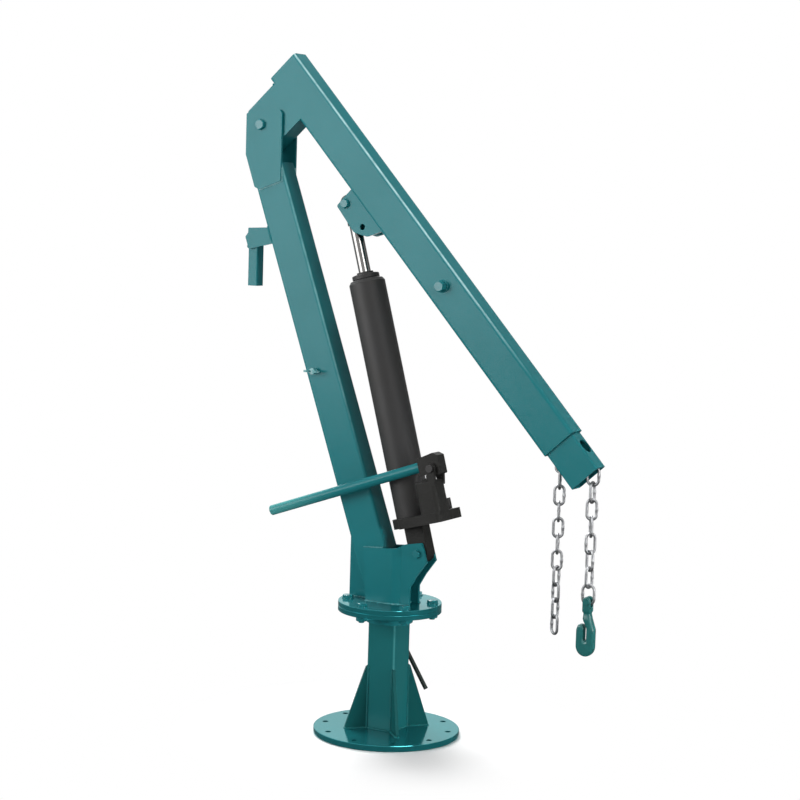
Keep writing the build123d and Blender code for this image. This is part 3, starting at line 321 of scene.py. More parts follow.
# Lighter teals for weld beads: painted highlights standing in for glints on the ripples
GLINT_TEAL = ((0.42, 0.74, 0.76), (0.08, 0.36, 0.38))
WELD_GLINT_TEAL = ((0.075, 0.340, 0.360), (0.014, 0.185, 0.205))
PLATE_TEAL = ((0.020, 0.225, 0.248), (0.016, 0.205, 0.225))
FORGED_TEAL = ((0.020, 0.160, 0.155), (0.014, 0.140, 0.135))
WING_TEAL = ((0.120, 0.350, 0.365), (0.070, 0.280, 0.295))
BLACK = ((0.027, 0.027, 0.028), (0.027, 0.026, 0.025))
CAST_BLACK = ((0.014, 0.014, 0.013), (0.010, 0.010, 0.009))
RUBBER_BLACK = ((0.02, 0.02, 0.02), (0.03, 0.03, 0.03))
SMOOTH = (0.10, 0.20)
WELD_PEEL = (900.0, 0.0003)
THIN_PEEL = (620.0, 0.0002)


def teal_coat(name, tones=TEAL):
    return coated(name, tones, (0.14, 0.24), (620.0, 0.0006), 7.0, IOR=1.22)


paint = teal_coat("teal_powder_coat")
# Painted shade: the base and the gussets are coated in darker copies of the teal
shaded_base_paint = teal_coat("teal_base_coat", SHADED_BASE_TEAL)
shaded_gusset_paint = teal_coat("teal_gusset_coat", SHADED_GUSSET_TEAL)
# Painted highlights: the weld beads are coated in lighter teals
cheek_weld_glint = coated("teal_rubbed_weld", GLINT_TEAL, SMOOTH, WELD_PEEL, 60.0, IOR=1.45)
weld_glint_paint = coated("teal_weld_coat", WELD_GLINT_TEAL, SMOOTH, WELD_PEEL, 110.0, IOR=1.4)
plate_paint = coated(
    "teal_plate_coat", PLATE_TEAL, (0.06, 0.12), (420.0, 0.0003), 7.0,
    IOR=1.45, Metallic=0.55, Specular_Tint=(0.7, 1, 1, 1),
)
forged_paint = coated("teal_forging_coat", FORGED_TEAL, (0.12, 0.20), (300.0, 0.0005), 12.0, IOR=1.5)
wing_paint = coated("teal_wing_coat", WING_TEAL, SMOOTH, THIN_PEEL, 90.0, IOR=1.4)
bolt_paint = coated("teal_bolt_coat", TEAL, (0.10, 0.18), THIN_PEEL, 7.0, IOR=1.36)
enamel = coated("black_enamel", BLACK, (0.42, 0.58), (500.0, 0.0006), 11.0, IOR=1.35)
casting = coated("black_casting", CAST_BLACK, (0.5, 0.66), (260.0, 0.0025), 16.0, IOR=1.3)
rubber = coated("black_rubber", RUBBER_BLACK, (0.6, 0.75), (900.0, 0.0004), 20.0)
print("coatings", paint.name, enamel.name, casting.name, rubber.name)


# %% Bare metals
METAL_SPREAD = (-0.4, 1.4)
TARNISH_SCALE = 45.0
SCRATCH_STRENGTH = 0.2


def metal(name, tones, gloss, scratch_scale, scratch_height):
    material, tree, shader = new_material(name, Metallic=1.0)
    place = add(tree, "ShaderNodeTexCoord")
    stretch = add(tree, "ShaderNodeMapping")
    stretch.inputs["Scale"].default_value = scratch_scale
    join(tree, place.outputs["Object"], stretch.inputs["Vector"])
    scratch = add(tree, "ShaderNodeTexNoise", Scale=1.0, Detail=3.0)
    join(tree, stretch.outputs["Vector"], scratch.inputs["Vector"])
    tarnish = add(tree, "ShaderNodeTexNoise", Scale=TARNISH_SCALE, Detail=4.0)
    join(tree, place.outputs["Object"], tarnish.inputs["Vector"])
    tone = two_tones(tree, between(tree, tarnish.outputs["Fac"], *METAL_SPREAD), *tones)
    join(tree, tone, shader.inputs["Base Color"])
    join(tree, between(tree, scratch.outputs["Fac"], *gloss), shader.inputs["Roughness"])
    bump = add(tree, "ShaderNodeBump", Strength=SCRATCH_STRENGTH, Distance=scratch_height)
    join(tree, scratch.outputs["Fac"], bump.inputs["Height"])
    join(tree, bump.outputs["Normal"], shader.inputs["Normal"])
    return material


CHROME = ((0.22, 0.215, 0.21), (0.17, 0.165, 0.16))
ZINC = ((0.36, 0.365, 0.375), (0.27, 0.275, 0.285))
OXIDE = ((0.040, 0.052, 0.048), (0.022, 0.028, 0.026))
BRONZE = ((0.55, 0.38, 0.18), (0.45, 0.29, 0.13))
chrome = metal("hard_chrome", CHROME, (0.08, 0.16), (40, 40, 900), 0.0002)
zinc = metal("bright_zinc", ZINC, (0.34, 0.48), (300, 300, 300), 0.0002)
oxide = metal("dark_oxide", OXIDE, (0.35, 0.50), (500, 500, 500), 0.0005)
bronze = metal("turned_bronze", BRONZE, (0.25, 0.40), (80, 80, 900), 0.0003)
print("metals", chrome.name, zinc.name, oxide.name, bronze.name)

# %% Give each solid its finish
FINISH = {
    "paint": paint,
    "black_paint": enamel,
    "chrome": chrome,
    "steel": zinc,
    "dark_steel": oxide,
    "bronze": bronze,
    "rubber": rubber,
}
OWN_FINISH = (
    (paint, (
        "flange_bolts", "flange_nuts", "foot_bolt", "foot_nut", "mast_bolt", "mast_nut",
        "pivot_bolt", "pivot_nut", "head_pin_stubs", "boom_lock_bolt",
    )),
    (forged_paint, ("grab_hook", "clevis_pin")),
    (wing_paint, ("wing_screw",)),
    (casting, ("jack_base", "jack_foot", "pump_rocker")),
    (plate_paint, ("base_plate", "lower_flange", "upper_flange")),
    # The gussets get the darkest teal, painted shade
    (shaded_gusset_paint, ("column_gussets",)),
)
own = {name: finish for finish, names in OWN_FINISH for name in names}
for part in frame["record"]["subparts"]:
    name = part["node"]
    solid = nodes[name].data
    solid.materials.clear()
    solid.materials.append(own.get(name, FINISH[part["material_slot"]]))
print("finished", len(nodes), "solids")

# %% [markdown]
# Where things are
#
# The mast leans back, the boom drops from its head, and the jack stands between them. A seam or
# a bolt is easiest to place along its own carrier, so each of the three has a small function
# that turns lengths along and across it into a point of the model, in metres.

# %% Frames of the leaning pieces
MAST_LEAN = radians(19.57)
BOOM_DROP = radians(47.91)
JACK_TILT = radians(15.2902)
FLANGE_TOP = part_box("upper_flange")[1][2]
FLANGE_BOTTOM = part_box("lower_flange")[0][2]


def joint_place(name):
    joints = frame["record"]["behaviour"]["joints"]
    return Vector(next(joint["pos_m"] for joint in joints if joint["name"] == name))


BOOM_PIVOT = joint_place("boom_lift")
JACK_FOOT = joint_place("jack_swing")


def on_mast(ahead, along, y):
    x = ahead * cos(MAST_LEAN) - along * sin(MAST_LEAN)
    z = FLANGE_TOP + ahead * sin(MAST_LEAN) + along * cos(MAST_LEAN)
    return Vector((x, y, z))


def on_boom(along, rise, y):
    x = BOOM_PIVOT.x + along * cos(BOOM_DROP) + rise * sin(BOOM_DROP)
    z = BOOM_PIVOT.z - along * sin(BOOM_DROP) + rise * cos(BOOM_DROP)
    return Vector((x, y, z))


def on_jack(ahead, y, along):
    x = JACK_FOOT.x + ahead * cos(JACK_TILT) - along * sin(JACK_TILT)
    z = JACK_FOOT.z + ahead * sin(JACK_TILT) + along * cos(JACK_TILT)
    return Vector((x, y, z))


print("pivot", BOOM_PIVOT, "jack foot", JACK_FOOT)

# %% [markdown]
# Painted highlights and a lighter handle end
#
# The boom, the mast and the column show a painted highlight on their leading corners, and the
# pump handle is lighter toward its free end. A painted mask would be tied to one mesh. Here the
# marks follow from the boxes and axes of the solids, and fade in between two heights or lengths.

# %% Painted highlights on the tube corners
# Tones of the painted highlight, strongest on the boom and faintest on the column
HIGHLIGHT_TONE = (0.50, 0.78, 0.80)
HIGHLIGHT_MILD = (0.17, 0.45, 0.47)
HIGHLIGHT_FAINT = (0.06, 0.29, 0.30)
BOOM_FADE = (0.72, 1.0)
MAST_FADE = (0.5, 0.9)
COLUMN_FADE = (-0.1, 0.1)
boom_up = on_boom(0, 1, 0) - on_boom(0, 0, 0)
mast_front = on_mast(1, 0, 0) - on_mast(0, 0, 0)
column_front = Vector((1, 0, 0))
highlight_edges(teal_coat("boom_coat"), "boom_tube", boom_up, HIGHLIGHT_TONE, BOOM_FADE)
highlight_edges(teal_coat("mast_coat"), "mast_tube", mast_front, HIGHLIGHT_MILD, MAST_FADE)
highlight_edges(teal_coat("column_coat", SHADED_BASE_TEAL), "column_tube", column_front, HIGHLIGHT_FAINT, COLUMN_FADE)

# %% The pump handle, lighter toward its free end
HANDLE_END_TONE = (0.062, 0.300, 0.300)
GRIP_SHARE = 0.5
handle_low, handle_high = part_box("pump_handle")
handle_coat = teal_coat("handle_coat")
handle_tree = handle_coat.node_tree
handle_place = add(handle_tree, "ShaderNodeTexCoord")
handle_split = add(handle_tree, "ShaderNodeSeparateXYZ")
join(handle_tree, handle_place.outputs["Object"], handle_split.inputs[0])
grip_start = handle_low[0] + GRIP_SHARE * (handle_high[0] - handle_low[0])
grip = eased(handle_tree, handle_split.outputs["X"], grip_start, handle_low[0])
over_base(handle_tree, grip, HANDLE_END_TONE)
nodes["pump_handle"].data.materials[0] = handle_coat
print("grip worn from", grip_start, "to", handle_low[0])

# %% [markdown]
# From a graph to a piece
#
# A Geometry Nodes tree grows its result on a few seed points or edges, and each piece is kept as
# a plain mesh. The export wants plain meshes. An operator can apply the modifier, but it depends
# on what is selected, so the grown result is copied out of the evaluated object and the modifier
# is dropped.


# %% Growing a piece
def seed_mesh(name, points, edges=(), facing=None):
    mesh = bpy.data.meshes.new(name)
    mesh.from_pydata([tuple(point) for point in points], list(edges), [])
    if facing:
        arrow = mesh.attributes.new("facing", "FLOAT_VECTOR", "POINT")
        for index, way in enumerate(facing):
            arrow.data[index].vector = way
    return mesh


def grow(name, mesh, tree, body, slot, replaced=(), **sizes):
    piece = new_object(name, mesh)
    grower = piece.modifiers.new("grow", "NODES")
    grower.node_group = tree
    for item in tree.interface.items_tree:
        label = item.name.replace(" ", "_")
        if item.item_type == "SOCKET" and label in sizes:
            grower[item.identifier] = sizes[label]
    grown = piece.evaluated_get(bpy.context.evaluated_depsgraph_get())
    plain = bpy.data.meshes.new_from_object(grown)
    piece.modifiers.clear()
    piece.data = plain
    plain.name = name
    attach(piece, body)
    if replaced:
        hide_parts(*replaced)
    print(name, len(plain.polygons), "faces")


def finish_tree(tree, made, start, end):
    real = add(tree, "GeometryNodeRealizeInstances")
    dressed = add(tree, "GeometryNodeSetMaterial")
    join(tree, made, real.inputs["Geometry"])
    join(tree, real.outputs["Geometry"], dressed.inputs["Geometry"])
    join(tree, start.outputs["Finish"], dressed.inputs["Material"])
    join(tree, dressed.outputs["Geometry"], end.inputs["Geometry"])


def raised(tree, shape, height):
    lift = add(tree, "ShaderNodeCombineXYZ")
    join(tree, height, lift.inputs["Z"])
    moved = add(tree, "GeometryNodeTransform")
    join(tree, shape, moved.inputs["Geometry"])
    join(tree, lift.outputs[0], moved.inputs["Translation"])
    return moved.outputs["Geometry"]


# %% [markdown]
# Weld seams
#
# Plates and tubes of the crane are joined by fillet welds, whose ripples show through the coat.
# A swept tube would be too smooth. Each seam here is a row of overlapping drops, one for each
# pulse of the weld, that follow a path along the corner of two solids.

# %% The weld tree
DROP_PITCH = 0.0024
DROP_SWELL = (0.86, 1.12)
DROP_OVERLAP = 1.9
weld, weld_in, weld_out = new_group(
    "weld_seam",
    "GeometryNodeTree",
    (
        ("Geometry", GEOMETRY, None), ("Width", FLOAT, 0.006), ("Pitch", FLOAT, DROP_PITCH),
        ("Finish", MATERIAL, None),
    ),
    (("Geometry", GEOMETRY),),
)
seam = add(weld, "GeometryNodeMeshToCurve")
pulses = add(weld, "GeometryNodeResampleCurve", mode="LENGTH")
drop = add(weld, "GeometryNodeMeshUVSphere", Segments=8, Rings=5, Radius=0.5)
smooth_drop = add(weld, "GeometryNodeSetShadeSmooth")
run = add(weld, "GeometryNodeInputTangent")
aligned = add(weld, "FunctionNodeAlignRotationToVector", axis="X")
swell = add(weld, "FunctionNodeRandomValue", data_type="FLOAT", Seed=11)
swell.inputs[2].default_value, swell.inputs[3].default_value = DROP_SWELL
drop_size = add(weld, "ShaderNodeCombineXYZ")
placed = add(weld, "GeometryNodeInstanceOnPoints")
drop_width = reckon(weld, "MULTIPLY", weld_in.outputs["Width"], swell.outputs[1])
drop_length = reckon(weld, "MULTIPLY", weld_in.outputs["Pitch"], DROP_OVERLAP)
join(weld, weld_in.outputs["Geometry"], seam.inputs["Mesh"])
join(weld, seam.outputs["Curve"], pulses.inputs["Curve"])
join(weld, weld_in.outputs["Pitch"], pulses.inputs["Length"])
join(weld, drop.outputs["Mesh"], smooth_drop.inputs["Geometry"])
join(weld, run.outputs["Tangent"], aligned.inputs["Vector"])
join(weld, drop_length, drop_size.inputs["X"])
join(weld, drop_width, drop_size.inputs["Y"])
join(weld, drop_width, drop_size.inputs["Z"])
join(weld, pulses.outputs["Curve"], placed.inputs["Points"])
join(weld, smooth_drop.outputs["Geometry"], placed.inputs["Instance"])
join(weld, aligned.outputs["Rotation"], placed.inputs["Rotation"])
join(weld, drop_size.outputs[0], placed.inputs["Scale"])
finish_tree(weld, placed.outputs["Instances"], weld_in, weld_out)
print("weld tree", len(weld.nodes), "nodes")


# %% Paths of the seams
def weld_on(name, body, paths, finish, width, pitch=DROP_PITCH):
    points = []
    edges = []
    for path in paths:
        first = len(points)
        points.extend(path)
        edges.extend((index, index + 1) for index in range(first, len(points) - 1))
    mesh = seed_mesh(name, points, edges)
    grow(name, mesh, weld, body, "paint", Width=width, Pitch=pitch, Finish=finish)


def both_sides(path):
    return [path, [Vector((point.x, -point.y, point.z)) for point in path]]


def ring(centre, radius, steps=24):
    turns = [2 * pi * step / steps for step in range(steps + 1)]
    return [centre + Vector((radius * cos(angle), 0, radius * sin(angle))) for angle in turns]


def quarter(path, step):
    turned = Matrix.Rotation(step * pi / 2, 3, "Z")
    return [turned @ Vector(point) for point in path]


# %% Seams of the base
PLATE_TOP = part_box("base_plate")[1][2]
COLUMN_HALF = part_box("column_tube")[1][0]
COLUMN_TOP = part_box("column_tube")[1][2]
GUSSET_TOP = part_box("column_gussets")[1][2]
GUSSET_HALF = 0.003
GUSSET_ROOT = 0.0425
GUSSET_FOOT = 0.088
FLAT_HALF = 0.024
LOCK_CENTRE = joint_place("column_lock")
LOCK_BOSS = 0.013
BASE_BEAD = 0.006

base_seams = [ring(LOCK_CENTRE, LOCK_BOSS)]
for step in range(4):
    for side in (-GUSSET_HALF, GUSSET_HALF):
        stem = ((GUSSET_ROOT, GUSSET_TOP), (GUSSET_ROOT, PLATE_TOP), (GUSSET_FOOT, PLATE_TOP))
        base_seams.append(quarter([(x, side, z) for x, z in stem], step + 0.5))
    for height in (PLATE_TOP, COLUMN_TOP):
        edge = [(COLUMN_HALF, y, height) for y in (-FLAT_HALF, FLAT_HALF)]
        base_seams.append(quarter(edge, step))
# The base seams get the darker base teal, painted shade
weld_on("base_welds", "base", base_seams, shaded_base_paint, BASE_BEAD)

# %% Seams of the turret
MAST_SIDE = 0.025
MAST_FRONT = 0.0375
FOOT_LINE = MAST_FRONT / cos(MAST_LEAN)
GUSSET_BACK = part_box("rear_gusset")[0][0]
GUSSET_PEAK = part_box("rear_gusset")[1][2]
GUSSET_SIDE = 0.004
PLATE_OUT = 0.031
NOSE_OUT = 0.022
FOOT_TOP = JACK_FOOT.z
TOE_HALF = 0.015
REAR_SEAM = ((GUSSET_BACK, FLANGE_TOP), (-FOOT_LINE, FLANGE_TOP), (GUSSET_BACK, GUSSET_PEAK))
PLATE_FOOT = ((-0.040, PLATE_OUT), (0.020, PLATE_OUT), (0.036, NOSE_OUT), (0.057, NOSE_OUT))
PLATE_RIM = ((-0.040, FLANGE_TOP), (-0.0495, FOOT_TOP + 0.001), (-0.006, FOOT_TOP + 0.0042))
CHEEK_RIM = ((-0.029, 0.890), (0.027, 0.890), (0.0355, 0.914))
ARM_SPAN = (0.779, 0.811)
ARM_EDGES = ((-MAST_FRONT, -0.018), (-0.0348, -0.024))
GRIP_SPAN = (0.026, 0.001)
TURRET_BEAD = 0.0056
THIN_BEAD = 0.005

cheek_seams = both_sides([on_mast(ahead, along, MAST_SIDE) for ahead, along in CHEEK_RIM])
# The cheek seam gets the brightest weld teal, a painted highlight
weld_on("cheek_welds", "turret", cheek_seams, cheek_weld_glint, TURRET_BEAD)
arm_seams = [[on_mast(ahead, along, y) for along in ARM_SPAN] for ahead, y in ARM_EDGES]
grip_low, grip_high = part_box("grip_bar")
for x in (grip_low[0], grip_high[0]):
    arm_seams.append([Vector((x, grip_low[1], grip_high[2] - drop)) for drop in GRIP_SPAN])
weld_on("arm_welds", "turret", arm_seams, paint, THIN_BEAD)
turret_seams = [[Vector((FOOT_LINE, y, FLANGE_TOP)) for y in (-TOE_HALF, TOE_HALF)]]
turret_seams.extend(both_sides([Vector((x, GUSSET_SIDE, z)) for x, z in REAR_SEAM]))
turret_seams.extend(both_sides([Vector((x, y, FLANGE_TOP)) for x, y in PLATE_FOOT]))
turret_seams.extend(both_sides([Vector((x, MAST_SIDE, z)) for x, z in PLATE_RIM]))
# The turret seams get the lighter weld teal, a painted highlight
weld_on("turret_welds", "turret", turret_seams, weld_glint_paint, TURRET_BEAD)

# %% Seams of the boom and its extension
BOOM_UNDER = 0.0739
BOOM_SIDE = 0.024
HEEL_ENDS = (-0.0445, 0.053)
HEEL_HALF = 0.0235
EAR_SPAN = (0.2408, 0.3516)
EAR_SIDE = 0.016
LOCK_BOLT = (0.5246, 0.1134)
LOCK_NUT_RING = 0.0108
BAR = (0.9943, 0.1334)
BAR_RING = 0.0038
BAR_STEPS = 16
BAR_BEAD, BAR_PITCH = 0.003, 0.0015

boom_seams = [ring(on_boom(*LOCK_BOLT, -BOOM_SIDE), LOCK_NUT_RING)]
for along in HEEL_ENDS:
    boom_seams.append([on_boom(along, BOOM_UNDER, y) for y in (-HEEL_HALF, HEEL_HALF)])
boom_seams.extend(both_sides([on_boom(along, BOOM_UNDER, EAR_SIDE) for along in EAR_SPAN]))
weld_on("boom_welds", "boom", boom_seams, paint, THIN_BEAD)
extension_seams = both_sides(ring(on_boom(*BAR, EAR_SIDE), BAR_RING, BAR_STEPS))
weld_on("extension_welds", "extension", extension_seams, paint, BAR_BEAD, BAR_PITCH)

# %% [markdown]
# Bolts and nuts
#
# The solids carry plain six-sided heads. A forged head is trimmed by a cone, which leaves the
# curved chamfer on each side, sits on a washer, and the screw's thread shows past the nut.
# Each could be modelled by hand, but they differ in size alone, so one tree makes all of them: a
# prism cut by a cone, a washer, a shank and a wavy tail.

# %% The bolt tree
HEX_CORNER = 0.57735
PRISM_REACH = 2.2
CROWN_SHARE = 0.47
CONE_FLARE = 1.9
hex_bolt, bolt_in, bolt_out = new_group(
    "hex_bolt",
    "GeometryNodeTree",
    (
        ("Geometry", GEOMETRY, None), ("Diameter", FLOAT, 0.012), ("Flats", FLOAT, 0.0192),
        ("Height", FLOAT, 0.0074), ("Washer", FLOAT, 0.0016), ("Shank", FLOAT, 0.02),
        ("Tail", FLOAT, 0.003), ("Finish", MATERIAL, None),
    ),
    (("Geometry", GEOMETRY),),
)
size = bolt_in.outputs
prism = add(hex_bolt, "GeometryNodeMeshCylinder", Vertices=6)
join(hex_bolt, reckon(hex_bolt, "MULTIPLY", size["Flats"], HEX_CORNER), prism.inputs["Radius"])
join(hex_bolt, reckon(hex_bolt, "MULTIPLY", size["Height"], PRISM_REACH), prism.inputs["Depth"])
trim = add(hex_bolt, "GeometryNodeMeshCone", Vertices=48)
crown = reckon(hex_bolt, "MULTIPLY", size["Flats"], CROWN_SHARE)
flare = reckon(hex_bolt, "MULTIPLY", size["Height"], CONE_FLARE)
join(hex_bolt, crown, trim.inputs["Radius Top"])
join(hex_bolt, reckon(hex_bolt, "ADD", crown, flare), trim.inputs["Radius Bottom"])
join(hex_bolt, size["Height"], trim.inputs["Depth"])
head = add(hex_bolt, "GeometryNodeMeshBoolean", operation="INTERSECT")
join(hex_bolt, prism.outputs["Mesh"], head.inputs["Mesh 2"])
join(hex_bolt, trim.outputs["Mesh"], head.inputs["Mesh 2"])
print("head tree", len(hex_bolt.nodes), "nodes")

# %% Washer, shank and thread of the bolt tree
THREAD_SHARE = 0.47
PITCH_SHARE = 0.146
RIDGE_SHARE = 0.2
washer = add(hex_bolt, "GeometryNodeMeshCylinder", Vertices=40)
join(hex_bolt, size["Diameter"], washer.inputs["Radius"])
join(hex_bolt, size["Washer"], washer.inputs["Depth"])
shank = add(hex_bolt, "GeometryNodeMeshCylinder", Vertices=24)
half_diameter = reckon(hex_bolt, "MULTIPLY", size["Diameter"], 0.5)
join(hex_bolt, half_diameter, shank.inputs["Radius"])
join(hex_bolt, size["Shank"], shank.inputs["Depth"])
thread = add(hex_bolt, "GeometryNodeMeshCylinder", Vertices=24, Side_Segments=14)
join(hex_bolt, reckon(hex_bolt, "MULTIPLY", size["Diameter"], THREAD_SHARE), thread.inputs["Radius"])
join(hex_bolt, size["Tail"], thread.inputs["Depth"])
spot = add(hex_bolt, "GeometryNodeInputPosition")
split = add(hex_bolt, "ShaderNodeSeparateXYZ")
join(hex_bolt, spot.outputs[0], split.inputs[0])
angle = reckon(hex_bolt, "ARCTAN2", split.outputs["Y"], split.outputs["X"])
turn_share = reckon(hex_bolt, "DIVIDE", angle, 2 * pi)
pitch = reckon(hex_bolt, "MULTIPLY", size["Diameter"], PITCH_SHARE)
turns_up = reckon(hex_bolt, "ADD", reckon(hex_bolt, "DIVIDE", split.outputs["Z"], pitch), turn_share)
wave = reckon(hex_bolt, "PINGPONG", turns_up, 0.5)
ridge = reckon(hex_bolt, "MULTIPLY", reckon(hex_bolt, "SUBTRACT", wave, 0.25), RIDGE_SHARE)
push = add(hex_bolt, "ShaderNodeCombineXYZ")
join(hex_bolt, reckon(hex_bolt, "MULTIPLY", split.outputs["X"], ridge), push.inputs["X"])
join(hex_bolt, reckon(hex_bolt, "MULTIPLY", split.outputs["Y"], ridge), push.inputs["Y"])
cut = add(hex_bolt, "GeometryNodeSetPosition")
join(hex_bolt, thread.outputs["Mesh"], cut.inputs["Geometry"])
join(hex_bolt, push.outputs[0], cut.inputs["Offset"])
print("thread tree", len(hex_bolt.nodes), "nodes")


# %% Putting a bolt together
def only_if(tree, length, shape):
    choice = add(tree, "GeometryNodeSwitch", input_type="GEOMETRY")
    join(tree, reckon(tree, "GREATER_THAN", length, 0.0), choice.inputs["Switch"])
    join(tree, shape, choice.inputs["True"])
    return choice.outputs[0]


top = reckon(hex_bolt, "ADD", size["Washer"], size["Height"])
whole = add(hex_bolt, "GeometryNodeJoinGeometry")
shank_drop = reckon(hex_bolt, "MULTIPLY", size["Shank"], -0.5)
tail_lift = reckon(hex_bolt, "ADD", top, reckon(hex_bolt, "MULTIPLY", size["Tail"], 0.5))
washer_lift = reckon(hex_bolt, "MULTIPLY", size["Washer"], 0.5)
for shape in (
    raised(hex_bolt, head.outputs["Mesh"], size["Washer"]),
    only_if(hex_bolt, size["Washer"], raised(hex_bolt, washer.outputs["Mesh"], washer_lift)),
    only_if(hex_bolt, size["Shank"], raised(hex_bolt, shank.outputs["Mesh"], shank_drop)),
    only_if(hex_bolt, size["Tail"], raised(hex_bolt, cut.outputs["Geometry"], tail_lift)),
):
    join(hex_bolt, shape, whole.inputs[0])
facing = add(hex_bolt, "GeometryNodeInputNamedAttribute", data_type="FLOAT_VECTOR", Name="facing")
stand = add(hex_bolt, "FunctionNodeAlignRotationToVector", axis="Z")
twist = add(hex_bolt, "FunctionNodeRandomValue", data_type="FLOAT", Seed=5)
twist.inputs[3].default_value = pi / 3
spun = add(hex_bolt, "FunctionNodeAxisAngleToRotation")
tightened = add(hex_bolt, "FunctionNodeRotateRotation", rotation_space="LOCAL")
seated = add(hex_bolt, "GeometryNodeInstanceOnPoints")
join(hex_bolt, facing.outputs["Attribute"], stand.inputs["Vector"])
join(hex_bolt, twist.outputs[1], spun.inputs["Angle"])
join(hex_bolt, stand.outputs["Rotation"], tightened.inputs["Rotation"])
join(hex_bolt, spun.outputs["Rotation"], tightened.inputs["Rotate By"])
join(hex_bolt, size["Geometry"], seated.inputs["Points"])
join(hex_bolt, whole.outputs["Geometry"], seated.inputs["Instance"])
join(hex_bolt, tightened.outputs["Rotation"], seated.inputs["Rotation"])
finish_tree(hex_bolt, seated.outputs["Instances"], bolt_in, bolt_out)
print("bolt tree", len(hex_bolt.nodes), "nodes")

# %% All bolts and nuts
FLANGE_RING = 0.088
FLANGE_TURNS = [radians(20 + 60 * step) for step in range(6)]
PIVOT_OUT = 0.030
HEAD_PIN = (0.2536, 0.0469)
HEAD_PIN_OUT = 0.022
MAST_BOLT = 0.128
LOCK_OUT = 0.034
UP, DOWN, NEAR, FAR = (0, 0, 1), (0, 0, -1), (0, -1, 0), (0, 1, 0)
BIG = {"Diameter": 0.012, "Flats": 0.0192}
BIG_HEAD = {**BIG, "Height": 0.00584, "Tail": 0.0}
BIG_NUT = {**BIG, "Height": 0.008, "Shank": 0.0, "Tail": 0.003}
BARE_HEAD = {**BIG_HEAD, "Washer": 0.0}
FOOT_HEAD = {**BARE_HEAD, "Flats": 0.015, "Shank": 0.044}
PIVOT_HEAD = {**BARE_HEAD, "Height": 0.0068, "Shank": 0.060}
PIN_HEAD = {**BARE_HEAD, "Flats": 0.0165, "Height": 0.0068, "Shank": 0.009}
LOCK_HEAD = {**BARE_HEAD, "Height": 0.00744, "Shank": 0.0141}
LOCK_NUT = {**BIG_NUT, "Height": 0.009, "Washer": 0.0, "Tail": 0.0}
MAST_HEAD = {"Diameter": 0.010, "Flats": 0.016, "Height": 0.0046, "Shank": 0.0193, "Tail": 0.0}


def flange_ring(height):
    spots = [(FLANGE_RING * cos(angle), FLANGE_RING * sin(angle)) for angle in FLANGE_TURNS]
    return [Vector((x, y, height)) for x, y in spots]


def fasten(name, node, body, points, ways, **sizes):
    mesh = seed_mesh(name, points, facing=ways)
    grow(name, mesh, hex_bolt, body, "paint", (node,), Finish=bolt_paint, **sizes)


foot_near, foot_far = (Vector((JACK_FOOT.x, y, JACK_FOOT.z)) for y in (-NOSE_OUT, NOSE_OUT))
pivot_near, pivot_far = (Vector((BOOM_PIVOT.x, y, BOOM_PIVOT.z)) for y in (-PIVOT_OUT, PIVOT_OUT))
head_pins = [on_boom(*HEAD_PIN, y) for y in (-HEAD_PIN_OUT, HEAD_PIN_OUT)]
mast_spot = on_mast(0, MAST_BOLT, MAST_SIDE)
lock_spot = on_boom(*LOCK_BOLT, -LOCK_OUT)
lock_nut_spot = on_boom(*LOCK_BOLT, -BOOM_SIDE)
fasten("flange_bolt_heads", "flange_bolts", "turret", flange_ring(FLANGE_TOP), [UP] * 6, **BIG_HEAD)
fasten("flange_bolt_nuts", "flange_nuts", "turret", flange_ring(FLANGE_BOTTOM), [DOWN] * 6, **BIG_NUT)
fasten("foot_bolt_head", "foot_bolt", "turret", [foot_near], [NEAR], **FOOT_HEAD)
fasten("foot_bolt_nut", "foot_nut", "turret", [foot_far], [FAR], **BIG_NUT)
fasten("pivot_bolt_head", "pivot_bolt", "turret", [pivot_near], [NEAR], **PIVOT_HEAD)
fasten("pivot_bolt_nut", "pivot_nut", "turret", [pivot_far], [FAR], **BIG_NUT)
fasten("mast_bolt_head", "mast_bolt", "turret", [mast_spot], [FAR], **MAST_HEAD)
fasten("head_pin_bolts", "head_pin_stubs", "boom", head_pins, [NEAR, FAR], **PIN_HEAD)
fasten("extension_lock_bolt", "boom_lock_bolt", "boom_lock_bolt", [lock_spot], [NEAR], **LOCK_HEAD)
fasten("extension_lock_nut", "boom_lock_nut", "boom", [lock_nut_spot], [NEAR], **LOCK_NUT)

# %% [markdown]
# The chain
#
# A welded chain is bent from wire, and each link keeps a small bulge where its ends were joined.
# Modelling link by link would repeat the same work. The tree bends one link and sets it on
# a point for each place in the strand, turned as it hangs, and the rings at the ends are wider.

# %% The chain tree
BOW_STEPS = 32
LINK_STEPS = 56
WIRE_STEPS = 12
chain, chain_in, chain_out = new_group(
    "welded_chain",
    "GeometryNodeTree",
    (
        ("Geometry", GEOMETRY, None), ("Wire", FLOAT, 0.0055), ("Inside", FLOAT, 0.0335),
        ("Width", FLOAT, 0.024), ("Ring Width", FLOAT, 0.030), ("Bulge", FLOAT, 0.2),
        ("Finish", MATERIAL, None),
    ),
    (("Geometry", GEOMETRY),),
)


